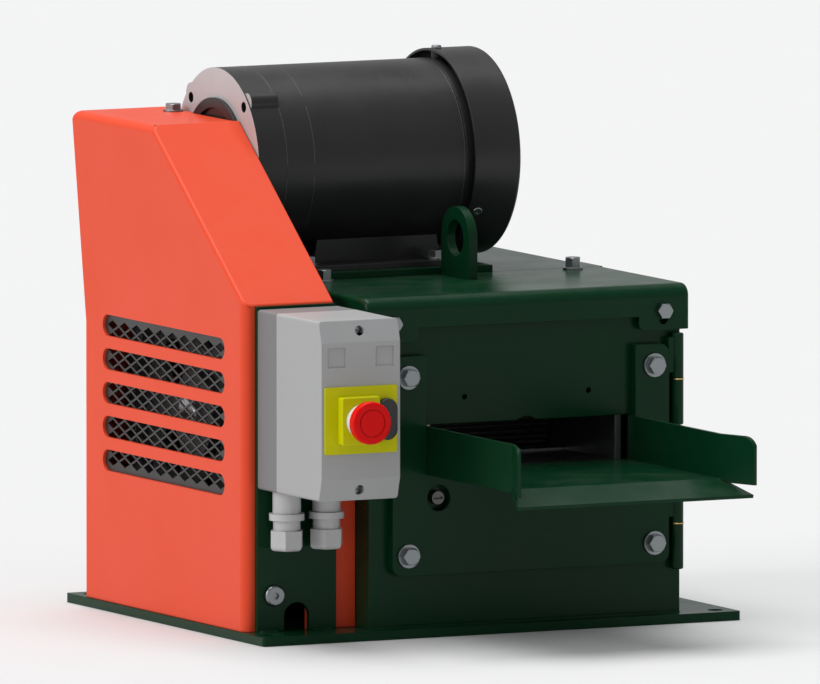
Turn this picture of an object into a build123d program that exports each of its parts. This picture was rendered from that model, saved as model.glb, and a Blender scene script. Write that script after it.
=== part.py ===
from build123d import *
from math import acos, atan2, cos, degrees, hypot, radians, sin, sqrt, tan
import os

# Motor-driven drum chopper for the bench: a fluted drum with three knives turns behind a feed slot.
# Frame: +X to the drum's closed end, +Y to the back, +Z up, origin at the centre of the base
# plate's underside. The belt guard is on the -X side and the feed tray points to -Y. Millimetres.

LOW_ALIGN = (Align.CENTER, Align.CENTER, Align.MIN)
HIGH_ALIGN = (Align.CENTER, Align.CENTER, Align.MAX)

# ---------------------------------------------------------------- driving dimensions
# fits
bolt_clearance = 0.3  # radial, shank in hole
seat_gap = 0.2  # between neighbouring pieces that only meet
running_gap = 0.08  # radial, shaft in bearing
door_gap = 0.3  # door plate off the front wall

# base plate
base_left_reach = 111.0  # beyond the housing's left wall, under the belt guard
base_right_reach = 53.0
base_end_reach = 16.0  # beyond the front and back walls
base_thickness = 8.0
base_corner = 3.0
base_hole_inset = 17.0
base_hole_r = 7.0

# housing
housing_width = 306.0
housing_depth = 364.0
side_thickness = 10.0
end_thickness = 8.0  # front and back walls
housing_top = 297.0
platform_thickness = 8.0
platform_front = -20.0
platform_wing_back = 25.0
platform_wing = 6.0
platform_inset = 3.0
cover_pad_r = 8.0
cover_pad_height = 5.0
ledge_width = 20.0
ledge_height = 10.0
ledge_margin = 6.0  # ledge beyond the knife carrier, each end

# throat, drum and bed knife
throat_offset = 2.0  # slot, tray and drum off the housing's centre
slot_width = 205.5
slot_low = 146.0
slot_high = 186.0
slot_notch_r = 14.0
slot_notch_rise = 3.0
throat_width = 182.0
guide_thickness = 6.0
guide_high = 214.0
guide_back_reach = 74.0
floor_top = 145.0
floor_thickness = 5.0
drum_y = 3.0
drum_z = 184.0
drum_r = 57.5
drum_end_gap = 2.0
flute_count = 60
flute_r = 1.9
knife_count = 3
knife_start = 15.0  # angle of the first knife
knife_reach = 2.5  # knife tips beyond the drum
knife_thickness = 8.0
pocket_depth = 15.5
wedge_width = 10.0
wedge_drop = 2.5  # wedges below the drum's surface
wedge_screw_r = 3.0
knife_gap = 0.5  # drum knife to bed knife
bed_knife_top = 147.0
bed_knife_thickness = 12.0
bed_knife_depth = 30.0
carrier_height = 25.0
carrier_depth = 50.0
carrier_bolt_inset = 10.0
carrier_bolt_r = 5.0
knife_screw_r = 4.0
drop_width = 170.0
drop_depth = 120.0
duct_wall = 3.0
duct_drop = 14.0  # duct's top below the knife carrier
shaft_r = 17.5
shaft_left_reach = 7.0  # beyond the sheave
shaft_right_reach = 40.0  # beyond the housing
shaft_chamfer = 1.5
key_width = 8.0
key_half_height = 3.5

# flange bearings
flange_size = 117.0
flange_corner = 16.0
flange_thickness = 14.0
bearing_boss_r = 44.0
bearing_depth = 34.0
bearing_bolt_span = 92.0
bearing_bolt_r = 6.0
ring_r = 30.0
shaft_hole_r = 32.0

# top cover, cross bar and lifting lug
sheet = 3.0
cover_gap = 3.0
cover_bend = 11.0
cover_tab_drop = 40.0
cover_side_drop = 32.0
cover_front_drop = 27.5
cover_tab_width = 50.0
cover_tab_corner = 6.0
cover_front_bolt_inset = 26.0
cover_front_bolt_drop = 23.0
cover_slot_length = 16.0
cover_rear_bolt_span = 246.0
cover_rear_bolt_inset = 12.0  # from the cover's back edge
cover_bolt_r = 3.9
cover_bolt_flats = 12.7
bar_thickness = 12.0
bar_depth = 58.0
lug_thickness = 8.0
lug_r = 27.7
lug_hole_r = 16.0
lug_eye_height = 38.0  # above the housing top

# front door, hinge and feed tray
door_width = 272.0
door_low = 54.0
door_high = 248.0
door_thickness = 9.0
door_corner = 9.0
door_bolt_span_x = 242.0
door_bolt_low = 72.0
door_bolt_high = 229.5
door_bolt_r = 4.7
door_bolt_flats = 14.3
adjuster_span = 182.0
adjuster_z = 122.0
adjuster_r = 6.0
adjuster_head = 8.0
adjuster_hole_r = 11.5
hood_hole_span = 122.0
hood_hole_z = 209.0
hood_hole_r = 2.5
hinge_r = 5.5
hinge_reach = 9.7  # hinge axis beyond the door's edge
knuckle_length = 40.0
knuckle_split = 1.0
upper_hinge_z = 216.0
lower_hinge_z = 88.0
hinge_pin_r = 3.0
hinge_pin_length = 52.0
hinge_bore_depth = 32.0
hinge_slack = 0.2
leaf_inset = 3.0
leaf_half = 3.4
knuckle_round = 1.6
tray_length = 166.0  # front of the door to the fold
tray_lip_length = 38.0
tray_lip_angle = 18.0
tray_flare_length = 42.0
tray_flare_angle = 20.0
tray_corner = 13.0
lip_gap = 2.2

# belt drive
sheave_r = 136.0
pulley_r = 33.0
belt_height = 8.0
belt_top_width = 12.6
belt_bottom_width = 7.6
groove_gap = 0.45
groove_extra_depth = 2.5
groove_spacing = 15.9
sheave_face = 36.0
drive_offset = 63.0  # housing's left wall to the middle of the two grooves
sheave_rim = 18.0
sheave_web = 9.0
sheave_hub_r = 38.0
sheave_hole_r = 22.0
sheave_hole_count = 6
bush_r = 25.0

# belt guard
guard_width = 109.0  # housing's left wall to the guard's outer face
guard_face_gap = 1.0  # inner edge to the motor's front face
guard_front_inset = 26.5
guard_back_inset = 20.0
guard_knee_z = 296.0
guard_rise = 40.0  # top above the motor's axis
guard_top_front_reach = 45.3  # top's front edge before the motor's axis
guard_top_back_reach = 29.0  # top's back edge beyond the guard's back
guard_back_knee_z = 253.6
guard_shelf_z = 255.0
guard_bend = 8.0
guard_back_bend = 2.0
guard_slope_bend = 3.0
vent_y = 5.0
vent_z = 194.0
vent_rows = 5
vent_pitch = 30.0
vent_height = 19.0
vent_half_length = 122.0
mesh_long = 24.0
mesh_short = 11.0
mesh_strand = 2.4
mesh_thickness = 1.5
guard_arch_offset = 36.0  # from the guard's outer face
guard_arch_half = 24.5
guard_arch_rise = 30.0
guard_bolt_r = 3.9
guard_bolt_inset = 12.0  # from the inner edge
guard_bolt_behind = 62.0  # behind the motor's axis
strut_width = 18.0
strut_thickness = 4.0
strut_step_z = 215.0
strut_screw_r = 3.3

# control bracket, box and stop button
bracket_offset = 60.0  # housing's left wall to the bracket's centre
bracket_width = 77.0
bracket_thickness = 5.0
bracket_top = 295.0
bracket_arch_half = 12.2
bracket_arch_rise = 25.0
bracket_bolt_inset = 16.0
bracket_bolt_height = 32.0
box_offset = 2.0  # off the bracket's centre
box_width = 80.0
box_low = 134.5
box_height = 158.0
box_base_depth = 37.0
box_depth = 122.5
box_wall = 3.0
box_draft = 1.8
box_bevel_depth = 5.5
box_bevel_height = 19.0
box_bend = 2.5
box_screw_r = 2.4
box_screw_span = 44.0
box_screw_end = 24.0
cover_screw_drop = 9.2
cover_recess_r = 4.25
cover_recess_depth = 12.0
window_size = 17.0
window_span = 46.8
window_offset = 4.9
window_z = 260.6
button_z = 205.5
button_plate_width = 70.0
button_plate_height = 59.0
button_plate_thickness = 2.0
button_offset = 5.0  # off the box's centre
button_block_width = 37.0
button_block_height = 42.0
button_block_depth = 9.0
backing_reach = 18.5
backing_height = 36.5
collar_r = 14.5
collar_length = 9.0
button_r = 18.8
button_height = 8.5
button_travel = 4.0
stem_r = 9.0
gland_span = 38.7
gland_y_inset = 15.5
gland_bore_r = 6.5
gland_cable_r = 4.5
gland_cut = 130.0
gland_flats = 27.0

# motor
motor_y = 76.0
motor_under_gap = 9.5  # motor body above its plate
motor_plate_thickness = 6.0
motor_plate_left_reach = 12.0  # beyond the foot
motor_plate_right_reach = 27.0
motor_plate_back_inset = 6.0
motor_overhang = 21.0  # front face beyond the housing's left wall
motor_r = 83.5
motor_length = 205.0  # front face to the rear bell
frame_wall = 5.5
front_bell_length = 28.0
rear_bell_length = 9.0
bearing_seat_r = 20.0
pilot_r = 57.0
pilot_length = 4.0
pilot_gap = 1.5  # guard's edge around the pilot ring
face_bolt_inset = 8.9  # bolt circle inside the motor's body
motor_shaft_r = 11.1
motor_shaft_reach = 59.0
motor_shaft_end = 8.0  # inside the hood's end
hood_lip = 8.5  # hood beyond the motor's body
hood_gap = 4.5
hood_length = 45.5
hood_sheet = 2.0
hood_round = 3.0
stator_inset = 57.0
stator_length = 116.0
stator_gap = 0.6
stator_build = 18.0  # winding's outer radius beyond the rotor
rotor_build = 37.5  # rotor's radius below the motor's body
foot_hole_inset = 15.0
foot_hole_span_x = 127.0
foot_hole_span_y = 140.0
foot_bolt_r = 4.7
foot_bolt_flats = 14.3
foot_sheet = 5.0
foot_inset = 39.0  # behind the front face
foot_length = 158.0
foot_half_width = 82.5
foot_web_taper = 7.0
foot_web_y = 48.0
terminal_inset = 115.0  # behind the front face
terminal_drop = 38.5  # lid beyond the motor's body
terminal_wall = 3.0
terminal_width = 96.0
terminal_height = 84.0

# ---------------------------------------------------------------- places worked out from them
base_width = housing_width + base_left_reach + base_right_reach
base_depth = housing_depth + 2 * base_end_reach
housing_x = (base_left_reach - base_right_reach) / 2
throat_x = housing_x + throat_offset
housing_left = housing_x - housing_width / 2
housing_right = housing_x + housing_width / 2
front_y = -housing_depth / 2
back_y = housing_depth / 2
front_inner = front_y + end_thickness
back_inner = back_y - end_thickness
left_inner = housing_left + side_thickness
right_inner = housing_right - side_thickness
cover_top = housing_top + sheet
platform_low = cover_top - platform_thickness
cover_back = platform_front - 1.0
slot_left = throat_x - slot_width / 2
slot_right = throat_x + slot_width / 2
throat_left = throat_x - throat_width / 2
throat_right = throat_x + throat_width / 2
motor_plate_top = cover_top + motor_plate_thickness
motor_z = motor_plate_top + motor_r + motor_under_gap
face_x = housing_left - motor_overhang
motor_body_end = face_x + motor_length
hood_r = motor_r + hood_lip
hood_left = motor_body_end + hood_gap
hood_right = hood_left + hood_length
motor_shaft_left = face_x - motor_shaft_reach
motor_shaft_right = hood_right - motor_shaft_end
stator_left = face_x + stator_inset
stator_right = stator_left + stator_length
rotor_r = motor_r - rotor_build
foot_left = face_x + foot_inset
foot_right = foot_left + foot_length
foot_hole_first_x = foot_left + foot_hole_inset
motor_plate_left = foot_left - motor_plate_left_reach
motor_plate_right = foot_right + motor_plate_right_reach
motor_plate_back = back_y - motor_plate_back_inset
drive_x = housing_left - drive_offset
sheave_left = drive_x - sheave_face / 2
sheave_right = drive_x + sheave_face / 2
shaft_left = sheave_left - shaft_left_reach
shaft_right = housing_right + shaft_right_reach
knife_tip_r = drum_r + knife_reach
knife_root_r = drum_r - pocket_depth
wedge_outer_r = drum_r - wedge_drop
cover_rear_bolt_y = cover_back - cover_rear_bolt_inset
bar_back = cover_back - 1.0
bar_front = bar_back - bar_depth
lug_y = bar_back - lug_r - 0.3
lug_eye_z = housing_top + lug_eye_height
door_back = front_y - door_gap
door_front = door_back - door_thickness
door_right = throat_x + door_width / 2
hinge_x = door_right + hinge_reach
hinge_y = front_y - hinge_r - 0.5
guard_x = housing_left - guard_width
guard_inner_x = face_x - guard_face_gap
guard_front = front_y + guard_front_inset
guard_back = back_y - guard_back_inset
guard_top = motor_z + guard_rise
guard_top_front = motor_y - guard_top_front_reach
guard_top_back = guard_back + guard_top_back_reach
guard_arch_x = guard_x + guard_arch_offset
bracket_x = housing_left - bracket_offset
box_x = bracket_x + box_offset
button_x = box_x - button_offset
bracket_back = guard_front
bracket_front = bracket_back - bracket_thickness
box_back = bracket_front
box_mid = box_back - box_base_depth
box_front = box_back - box_depth
box_high = box_low + box_height
button_plate_front = box_front - button_plate_thickness
button_block_front = button_plate_front - button_block_depth
collar_front = button_block_front - collar_length
button_back = collar_front - button_travel - 0.5
guard_lower_x = housing_left - 0.3
guard_low = base_thickness + seat_gap
drum_left = throat_left + drum_end_gap
drum_right = throat_right - drum_end_gap
bed_edge_drop = drum_z - bed_knife_top
bed_knife_edge = drum_y - sqrt((knife_tip_r + knife_gap) ** 2 - bed_edge_drop**2)
bed_knife_low = bed_knife_top - bed_knife_thickness
carrier_low = bed_knife_low - carrier_height
carrier_back = bed_knife_edge - 4.0
carrier_front = carrier_back - carrier_depth
adjuster_end = carrier_front - seat_gap


# ---------------------------------------------------------------- helpers
def facing(direction, *points):
    """Planes at the points, each with its normal along the direction."""
    across = (0, 1, 0) if abs(direction[0]) > 0.5 else (1, 0, 0)
    return [Plane(origin=p, x_dir=across, z_dir=direction) for p in points]


FRONT, BACK, LEFT, RIGHT = (0, -1, 0), (0, 1, 0), (-1, 0, 0), (1, 0, 0)
UP, DOWN = (0, 0, 1), (0, 0, -1)


def block(x, y, z, mode=Mode.ADD):
    """Box between a low and a high place on each axis."""
    with Locations(((x[0] + x[1]) / 2, (y[0] + y[1]) / 2, (z[0] + z[1]) / 2)):
        Box(x[1] - x[0], y[1] - y[0], z[1] - z[0], mode=mode)


def drill(radius, depth, planes):
    """Round holes going in from each plane, against its normal."""
    with Locations(*planes):
        Cylinder(radius, depth, align=HIGH_ALIGN, mode=Mode.SUBTRACT)


def rod(radius, y, z, x, mode=Mode.ADD):
    """Cylinder along X, centred on (y, z), between a low and a high x."""
    with Locations(Plane(origin=(x[0], y, z), x_dir=(0, 1, 0), z_dir=(1, 0, 0))):
        Cylinder(radius, x[1] - x[0], align=LOW_ALIGN, mode=mode)


def save(piece, name):
    """Labels a finished piece and writes its STEP file."""
    piece.label = name
    export_step(piece, f"parts/{name}.step")


def hex_bolt(shank_r, length, flats, head_height, washer_r=0.0, washer_thickness=0.0):
    """Hex bolt seated on Z = 0, shank going down; a washer under the head raises it."""
    corner = flats / sqrt(3)
    crown = washer_thickness + head_height
    with BuildPart() as bolt:
        with BuildSketch(Plane.XY.offset(washer_thickness)):
            RegularPolygon(corner, 6)
        extrude(amount=head_height)
        with BuildSketch(Plane.XZ):
            with BuildLine():
                Polyline(
                    (0, washer_thickness),
                    (corner, washer_thickness),
                    (corner, crown - flats * 0.05),
                    (flats * 0.48, crown),
                    (0, crown),
                    close=True,
                )
            make_face()
        revolve(axis=Axis.Z, mode=Mode.INTERSECT)
        Cylinder(shank_r, length, align=HIGH_ALIGN)
        if washer_r:
            Cylinder(washer_r, washer_thickness, align=LOW_ALIGN)
    return bolt.part


def round_screw(shank_r, length, head_r, head_height, socket_r):
    """Round-head socket screw seated on Z = 0 with its shank going down."""
    with BuildPart() as screw:
        Cylinder(head_r, head_height, align=LOW_ALIGN)
        fillet(screw.edges().sort_by(Axis.Z)[-1], head_height * 0.45)
        with BuildSketch(Plane.XY.offset(head_height)):
            RegularPolygon(socket_r, 6)
        extrude(amount=-head_height * 0.5, mode=Mode.SUBTRACT)
        Cylinder(shank_r, length, align=HIGH_ALIGN)
    return screw.part


def group(shape, planes):
    """Copies of one shape, each standing on its own plane."""
    with BuildPart() as several:
        with Locations(*planes):
            add(shape)
    return several.part


# ---------------------------------------------------------------- base and housing
os.makedirs("parts", exist_ok=True)

with BuildPart() as base_plate:
    with BuildSketch():
        RectangleRounded(base_width, base_depth, base_corner)
        with GridLocations(base_width - 2 * base_hole_inset, base_depth - 2 * base_hole_inset, 2, 2):
            Circle(base_hole_r, mode=Mode.SUBTRACT)
        with Locations((throat_x, drum_y)):
            RectangleRounded(drop_width, drop_depth, base_corner, mode=Mode.SUBTRACT)
    extrude(amount=base_thickness)
save(base_plate.part, "base_plate")

pad_tip = front_y - cover_pad_height
cover_front = pad_tip - sheet
cover_left = housing_left - cover_gap - sheet
cover_right = housing_right + cover_gap + sheet
cover_bolt_z = cover_top - cover_front_bolt_drop
cover_bolt_x = (cover_left + cover_front_bolt_inset, cover_right - cover_front_bolt_inset)
ledge_y = (carrier_front - ledge_margin, carrier_back + ledge_margin)
ledge_z = (carrier_low - ledge_height, carrier_low)
bearing_half = bearing_bolt_span / 2
bearing_corners = [(a, b) for a in (-bearing_half, bearing_half) for b in (-bearing_half, bearing_half)]
adjuster_x = (throat_x - adjuster_span / 2, throat_x + adjuster_span / 2)
hood_x = (throat_x - hood_hole_span / 2, throat_x + hood_hole_span / 2)
door_bolt_x = (throat_x - door_bolt_span_x / 2, throat_x + door_bolt_span_x / 2)
door_bolt_z = (door_bolt_low, door_bolt_high)
rear_bolt_x = (housing_x - cover_rear_bolt_span / 2, housing_x + cover_rear_bolt_span / 2)
foot_x = (foot_hole_first_x, foot_hole_first_x + foot_hole_span_x)
foot_y = (motor_y - foot_hole_span_y / 2, motor_y + foot_hole_span_y / 2)

with BuildPart() as housing:
    block((housing_left, housing_right), (front_y, back_y), (base_thickness, housing_top))
    block((left_inner, right_inner), (front_inner, back_inner), (0, housing_top + 1), Mode.SUBTRACT)
    block((slot_left, slot_right), (front_y - 1, front_inner + 1), (slot_low, slot_high), Mode.SUBTRACT)
    with Locations(*facing(FRONT, (throat_x, front_y, slot_high + slot_notch_rise - slot_notch_r))):
        Cylinder(slot_notch_r, end_thickness, align=HIGH_ALIGN, mode=Mode.SUBTRACT)
    block(
        (housing_left + platform_inset, housing_right - platform_inset),
        (platform_front, back_y - platform_inset),
        (platform_low, housing_top),
    )
    block(
        (housing_left + platform_inset, housing_right - platform_inset),
        (platform_front, back_y + platform_wing),
        (housing_top - 0.5, cover_top),
    )
    block(
        (housing_left - platform_wing, housing_right + platform_wing),
        (platform_front, platform_wing_back),
        (housing_top, cover_top),
    )
    top_front = housing.edges().filter_by(Axis.X).filter_by(lambda e: abs(e.center().Y - front_y) < 0.01)
    chamfer(top_front.sort_by(Axis.Z)[-1], 3.0)
    for x in cover_bolt_x:
        with Locations(*facing(FRONT, (x, front_y + 1, cover_bolt_z))):
            Cylinder(cover_pad_r, front_y + 1 - pad_tip, align=LOW_ALIGN)
    for x in (left_inner, right_inner - ledge_width):
        block((x, x + ledge_width), ledge_y, ledge_z)
    rod(shaft_hole_r, drum_y, drum_z, (housing_left - 1, housing_right + 1), Mode.SUBTRACT)
    for x, side in ((housing_left, LEFT), (housing_right, RIGHT)):
        points = [(x, drum_y + a, drum_z + b) for a, b in bearing_corners]
        drill(bearing_bolt_r, side_thickness, facing(side, *points))
    points = [(x, pad_tip, cover_bolt_z) for x in cover_bolt_x]
    drill(cover_bolt_r, cover_pad_height + end_thickness + 1, facing(FRONT, *points))
    points = [(x, front_y, z) for x in door_bolt_x for z in door_bolt_z]
    drill(door_bolt_r, end_thickness, facing(FRONT, *points))
    drill(adjuster_r, end_thickness, facing(FRONT, *[(x, front_y, adjuster_z) for x in adjuster_x]))
    drill(hood_hole_r, end_thickness, facing(FRONT, *[(x, front_y, hood_hole_z) for x in hood_x]))
    carrier_bolt_x = (left_inner + carrier_bolt_inset, right_inner - carrier_bolt_inset)
    carrier_bolt_y = (carrier_front + carrier_depth * 0.28, carrier_front + carrier_depth * 0.72)
    points = [(x, y, carrier_low) for x in carrier_bolt_x for y in carrier_bolt_y]
    drill(carrier_bolt_r, ledge_height, facing(UP, *points))
    drill(foot_bolt_r, platform_thickness, facing(UP, *[(x, y, cover_top) for x in foot_x for y in foot_y]))
save(housing.part, "housing")

with BuildPart() as discharge_duct:
    with BuildSketch(Plane.XY.offset(base_thickness + seat_gap)):
        with Locations((throat_x, drum_y)):
            Rectangle(drop_width + 2 * duct_wall, drop_depth + 2 * duct_wall)
            Rectangle(drop_width, drop_depth, mode=Mode.SUBTRACT)
    extrude(amount=carrier_low - duct_drop - base_thickness)
save(discharge_duct.part, "discharge_duct")

# ---------------------------------------------------------------- top cover and lifting bar
lug_slot = lug_thickness / 2 + 1.0
with BuildPart() as top_cover:
    block((cover_left, cover_right), (cover_front, cover_back), (cover_top - cover_tab_drop, cover_top))
    outer = top_cover.edges().filter_by(Axis.X).group_by(Axis.Z)[-1].sort_by(Axis.Y)[0]
    fillet(outer, cover_bend)
    fillet(top_cover.edges().filter_by(Axis.Y).group_by(Axis.Z)[-1], sheet + 1.0)
    inner_low = cover_top - cover_tab_drop - 1.0
    with BuildSketch(Plane.YZ.offset(cover_left + sheet)) as under:
        with BuildLine():
            front_in = cover_front + sheet
            top_in = cover_top - sheet
            bend_in = cover_bend - sheet
            Polyline(
                (cover_back + 1, top_in),
                (cover_back + 1, inner_low),
                (front_in, inner_low),
                (front_in, top_in - bend_in),
            )
            RadiusArc((front_in, top_in - bend_in), (front_in + bend_in, top_in), bend_in)
            Line((front_in + bend_in, top_in), (cover_back + 1, top_in))
        make_face()
    extrude(amount=cover_right - cover_left - 2 * sheet, mode=Mode.SUBTRACT)
    block(
        (cover_left + cover_tab_width, cover_right - cover_tab_width),
        (cover_front - 1, front_in + 0.5),
        (inner_low, cover_top - cover_front_drop),
        Mode.SUBTRACT,
    )
    block(
        (cover_left - 1, cover_right + 1),
        (cover_front + cover_tab_corner + 8.0, cover_back + 1),
        (inner_low, cover_top - cover_side_drop),
        Mode.SUBTRACT,
    )
    low_ends = top_cover.edges().filter_by(Axis.Y).group_by(Axis.Z)[0]
    tab_ends = low_ends.filter_by_position(Axis.X, cover_left + 1, cover_right - 1)
    fillet(tab_ends.filter_by(lambda e: e.length < sheet + 0.5), cover_tab_corner)
    with BuildSketch(Plane.XZ.offset(-cover_front)):
        with Locations(*[(x, cover_bolt_z - 4.0) for x in cover_bolt_x]):
            SlotOverall(cover_slot_length, 9.0, rotation=90)
    extrude(amount=-sheet, mode=Mode.SUBTRACT)
    block(
        (throat_x - lug_slot, throat_x + lug_slot),
        (lug_y - lug_r - 1.0, cover_back + 1),
        (cover_top - sheet - 1, cover_top + 1),
        Mode.SUBTRACT,
    )
    points = [(x, cover_rear_bolt_y, cover_top) for x in rear_bolt_x]
    drill(cover_bolt_r + bolt_clearance, sheet, facing(UP, *points))
save(top_cover.part, "top_cover")

with BuildPart() as lifting_bar:
    block((left_inner, right_inner), (bar_front, bar_back), (housing_top - bar_thickness, housing_top))
    with BuildSketch(Plane.YZ.offset(throat_x - lug_thickness / 2)):
        with Locations((lug_y, (housing_top - 2 + lug_eye_z) / 2)):
            Rectangle(2 * lug_r, lug_eye_z - housing_top + 2)
        with Locations((lug_y, lug_eye_z)):
            Circle(lug_r)
            Circle(lug_hole_r, mode=Mode.SUBTRACT)
    extrude(amount=lug_thickness)
    points = [(x, cover_rear_bolt_y, housing_top) for x in rear_bolt_x]
    drill(cover_bolt_r, bar_thickness, facing(UP, *points))
save(lifting_bar.part, "lifting_bar")

cover_bolt = hex_bolt(cover_bolt_r - 0.1, 16.0, cover_bolt_flats, 5.4)
rear_bolt = hex_bolt(cover_bolt_r - 0.1, 14.0, cover_bolt_flats, 9.0, 9.0, 1.8)
with BuildPart() as cover_bolts:
    with Locations(*facing(FRONT, *[(x, cover_front, cover_bolt_z) for x in cover_bolt_x])):
        add(cover_bolt)
    with Locations(*facing(UP, *[(x, cover_rear_bolt_y, cover_top) for x in rear_bolt_x])):
        add(rear_bolt)
save(cover_bolts.part, "cover_bolts")

# ---------------------------------------------------------------- door, hinges and tray
tray_floor_low = slot_low - sheet
with BuildPart() as door_plate:
    with BuildSketch(Plane.XZ.offset(-door_back)):
        with Locations((throat_x, (door_low + door_high) / 2)):
            RectangleRounded(door_width, door_high - door_low, door_corner)
        with Locations((throat_x, (tray_floor_low + door_high + 20) / 2)):
            Rectangle(slot_width, door_high + 20 - tray_floor_low, mode=Mode.SUBTRACT)
        with Locations(*[(x, z) for x in door_bolt_x for z in door_bolt_z]):
            Circle(door_bolt_r + bolt_clearance, mode=Mode.SUBTRACT)
        with Locations(*[(x, adjuster_z) for x in adjuster_x]):
            Circle(adjuster_hole_r, mode=Mode.SUBTRACT)
    extrude(amount=door_thickness)
save(door_plate.part, "door_plate")

door_bolt = hex_bolt(door_bolt_r - 0.1, door_thickness, door_bolt_flats, 6.2, 10.5, 2.4)
door_bolt_planes = facing(FRONT, *[(x, door_front, z) for x in door_bolt_x for z in door_bolt_z])
save(group(door_bolt, door_bolt_planes), "door_bolts")

with BuildPart() as adjuster_screws:
    for x in adjuster_x:
        with Locations(*facing(FRONT, (x, adjuster_end, adjuster_z))):
            Cylinder(adjuster_r - 0.1, adjuster_end - front_y + adjuster_head, align=LOW_ALIGN)
        block(
            (x - 4.5, x + 4.5),
            (front_y - adjuster_head - 1, front_y - adjuster_head + 2.5),
            (adjuster_z - 0.9, adjuster_z + 0.9),
            Mode.SUBTRACT,
        )
save(adjuster_screws.part, "adjuster_screws")

hinge_levels = (lower_hinge_z, upper_hinge_z)
knuckle_gap = knuckle_split / 2 + hinge_slack


def knuckle_ends(piece, ends):
    """Outer end edges of the knuckles in a piece."""
    rims = piece.edges().filter_by(GeomType.CIRCLE)
    return rims.filter_by(
        lambda e: abs(e.radius - hinge_r) < 0.01 and any(abs(e.center().Z - z) < 0.01 for z in ends)
    )


with BuildPart() as wall_knuckles:
    for z in hinge_levels:
        with Locations((hinge_x, hinge_y, z - knuckle_gap)):
            Cylinder(hinge_r, knuckle_length, align=HIGH_ALIGN)
        block(
            (hinge_x - leaf_half, hinge_x + leaf_half),
            (hinge_y, front_y),
            (z - knuckle_length + leaf_inset, z - 2 * leaf_inset),
        )
        with Locations((hinge_x, hinge_y, z + 1)):
            Cylinder(hinge_pin_r, hinge_bore_depth, align=HIGH_ALIGN, mode=Mode.SUBTRACT)
    low_ends = [z - knuckle_gap - knuckle_length for z in hinge_levels]
    fillet(knuckle_ends(wall_knuckles, low_ends), knuckle_round)
save(wall_knuckles.part, "wall_knuckles")

with BuildPart() as door_knuckles:
    for z in hinge_levels:
        with Locations((hinge_x, hinge_y, z + knuckle_gap)):
            Cylinder(hinge_r, knuckle_length, align=LOW_ALIGN)
        block(
            (door_right, hinge_x),
            (door_front + 1.0, door_back - 1.0),
            (z + 2 * leaf_inset, z + knuckle_length - leaf_inset),
        )
        with Locations((hinge_x, hinge_y, z - 1)):
            Cylinder(hinge_pin_r + running_gap, hinge_bore_depth, align=LOW_ALIGN, mode=Mode.SUBTRACT)
    high_ends = [z + knuckle_gap + knuckle_length for z in hinge_levels]
    fillet(knuckle_ends(door_knuckles, high_ends), knuckle_round)
save(door_knuckles.part, "door_knuckles")

with BuildPart() as hinge_pins:
    with Locations(*[(hinge_x, hinge_y, z) for z in hinge_levels]):
        Cylinder(hinge_pin_r, hinge_pin_length)
save(hinge_pins.part, "hinge_pins")

with BuildPart() as hinge_washers:
    with Locations(*[(hinge_x, hinge_y, z - knuckle_split / 2) for z in hinge_levels]):
        Cylinder(hinge_r + 0.4, knuckle_split, align=LOW_ALIGN)
        Cylinder(hinge_pin_r, knuckle_split, align=LOW_ALIGN, mode=Mode.SUBTRACT)
save(hinge_washers.part, "hinge_washers")

fold_y = door_front - tray_length
flare_a = radians(tray_flare_angle)
lip_a = radians(tray_lip_angle)
flare_dx = tray_flare_length * sin(flare_a)
tray_end_y = fold_y - tray_flare_length * cos(flare_a)
lip_end_z = slot_low - tray_lip_length * sin(lip_a)


def tray_wall(side):
    """Plan outline of one tray wall and its flare; side is +1 or -1."""
    half = slot_width / 2
    reach = half + flare_dx
    points = [
        (half, door_back),
        (half, fold_y),
        (reach, tray_end_y),
        (reach - sheet * cos(flare_a), tray_end_y - sheet * sin(flare_a)),
        (half - sheet, fold_y - sheet * tan(flare_a / 2)),
        (half - sheet, door_back),
    ]
    return [(throat_x + side * x, y) for x, y in points]


tray_x = (slot_left - 40, slot_right + 40)
with BuildPart() as feed_tray:
    with BuildSketch(Plane.XY.offset(tray_floor_low)):
        for side in (-1, 1):
            with BuildLine():
                Polyline(*tray_wall(side), close=True)
            make_face()
    extrude(amount=slot_high - tray_floor_low - 0.5)
    with BuildSketch(Plane.YZ.offset(tray_x[0])):
        with BuildLine():
            Polyline(
                (fold_y, tray_floor_low - 9),
                (fold_y, slot_low),
                (tray_end_y - 6, lip_end_z + lip_gap - 0.6),
                (tray_end_y - 6, tray_floor_low - 9),
                close=True,
            )
        make_face()
        corner_y = tray_end_y - sheet * sin(flare_a) + tray_corner
        corner_z = slot_high - 0.5 - tray_corner
        with BuildLine():
            Polyline(
                (corner_y, corner_z + tray_corner + 4),
                (corner_y - tray_corner - 4, corner_z + tray_corner + 4),
                (corner_y - tray_corner - 4, corner_z),
                (corner_y - tray_corner, corner_z),
            )
            RadiusArc((corner_y - tray_corner, corner_z), (corner_y, corner_z + tray_corner), tray_corner)
            Line((corner_y, corner_z + tray_corner), (corner_y, corner_z + tray_corner + 4))
        make_face()
    extrude(amount=tray_x[1] - tray_x[0], mode=Mode.SUBTRACT)
    block((slot_left, slot_right), (fold_y, door_back), (tray_floor_low, slot_low))
    lip_out = (0, -sin(lip_a), cos(lip_a))
    lip_plane = Plane(origin=(throat_x, fold_y, slot_low), x_dir=(1, 0, 0), z_dir=lip_out)
    with BuildSketch(lip_plane):
        with BuildLine():
            lip_half = slot_width / 2 + flare_dx - 1.4
            Polyline(
                (-slot_width / 2, 0.8),
                (slot_width / 2, 0.8),
                (lip_half, -tray_lip_length),
                (-lip_half, -tray_lip_length),
                close=True,
            )
        make_face()
    extrude(amount=-sheet)
save(feed_tray.part, "feed_tray")

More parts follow.
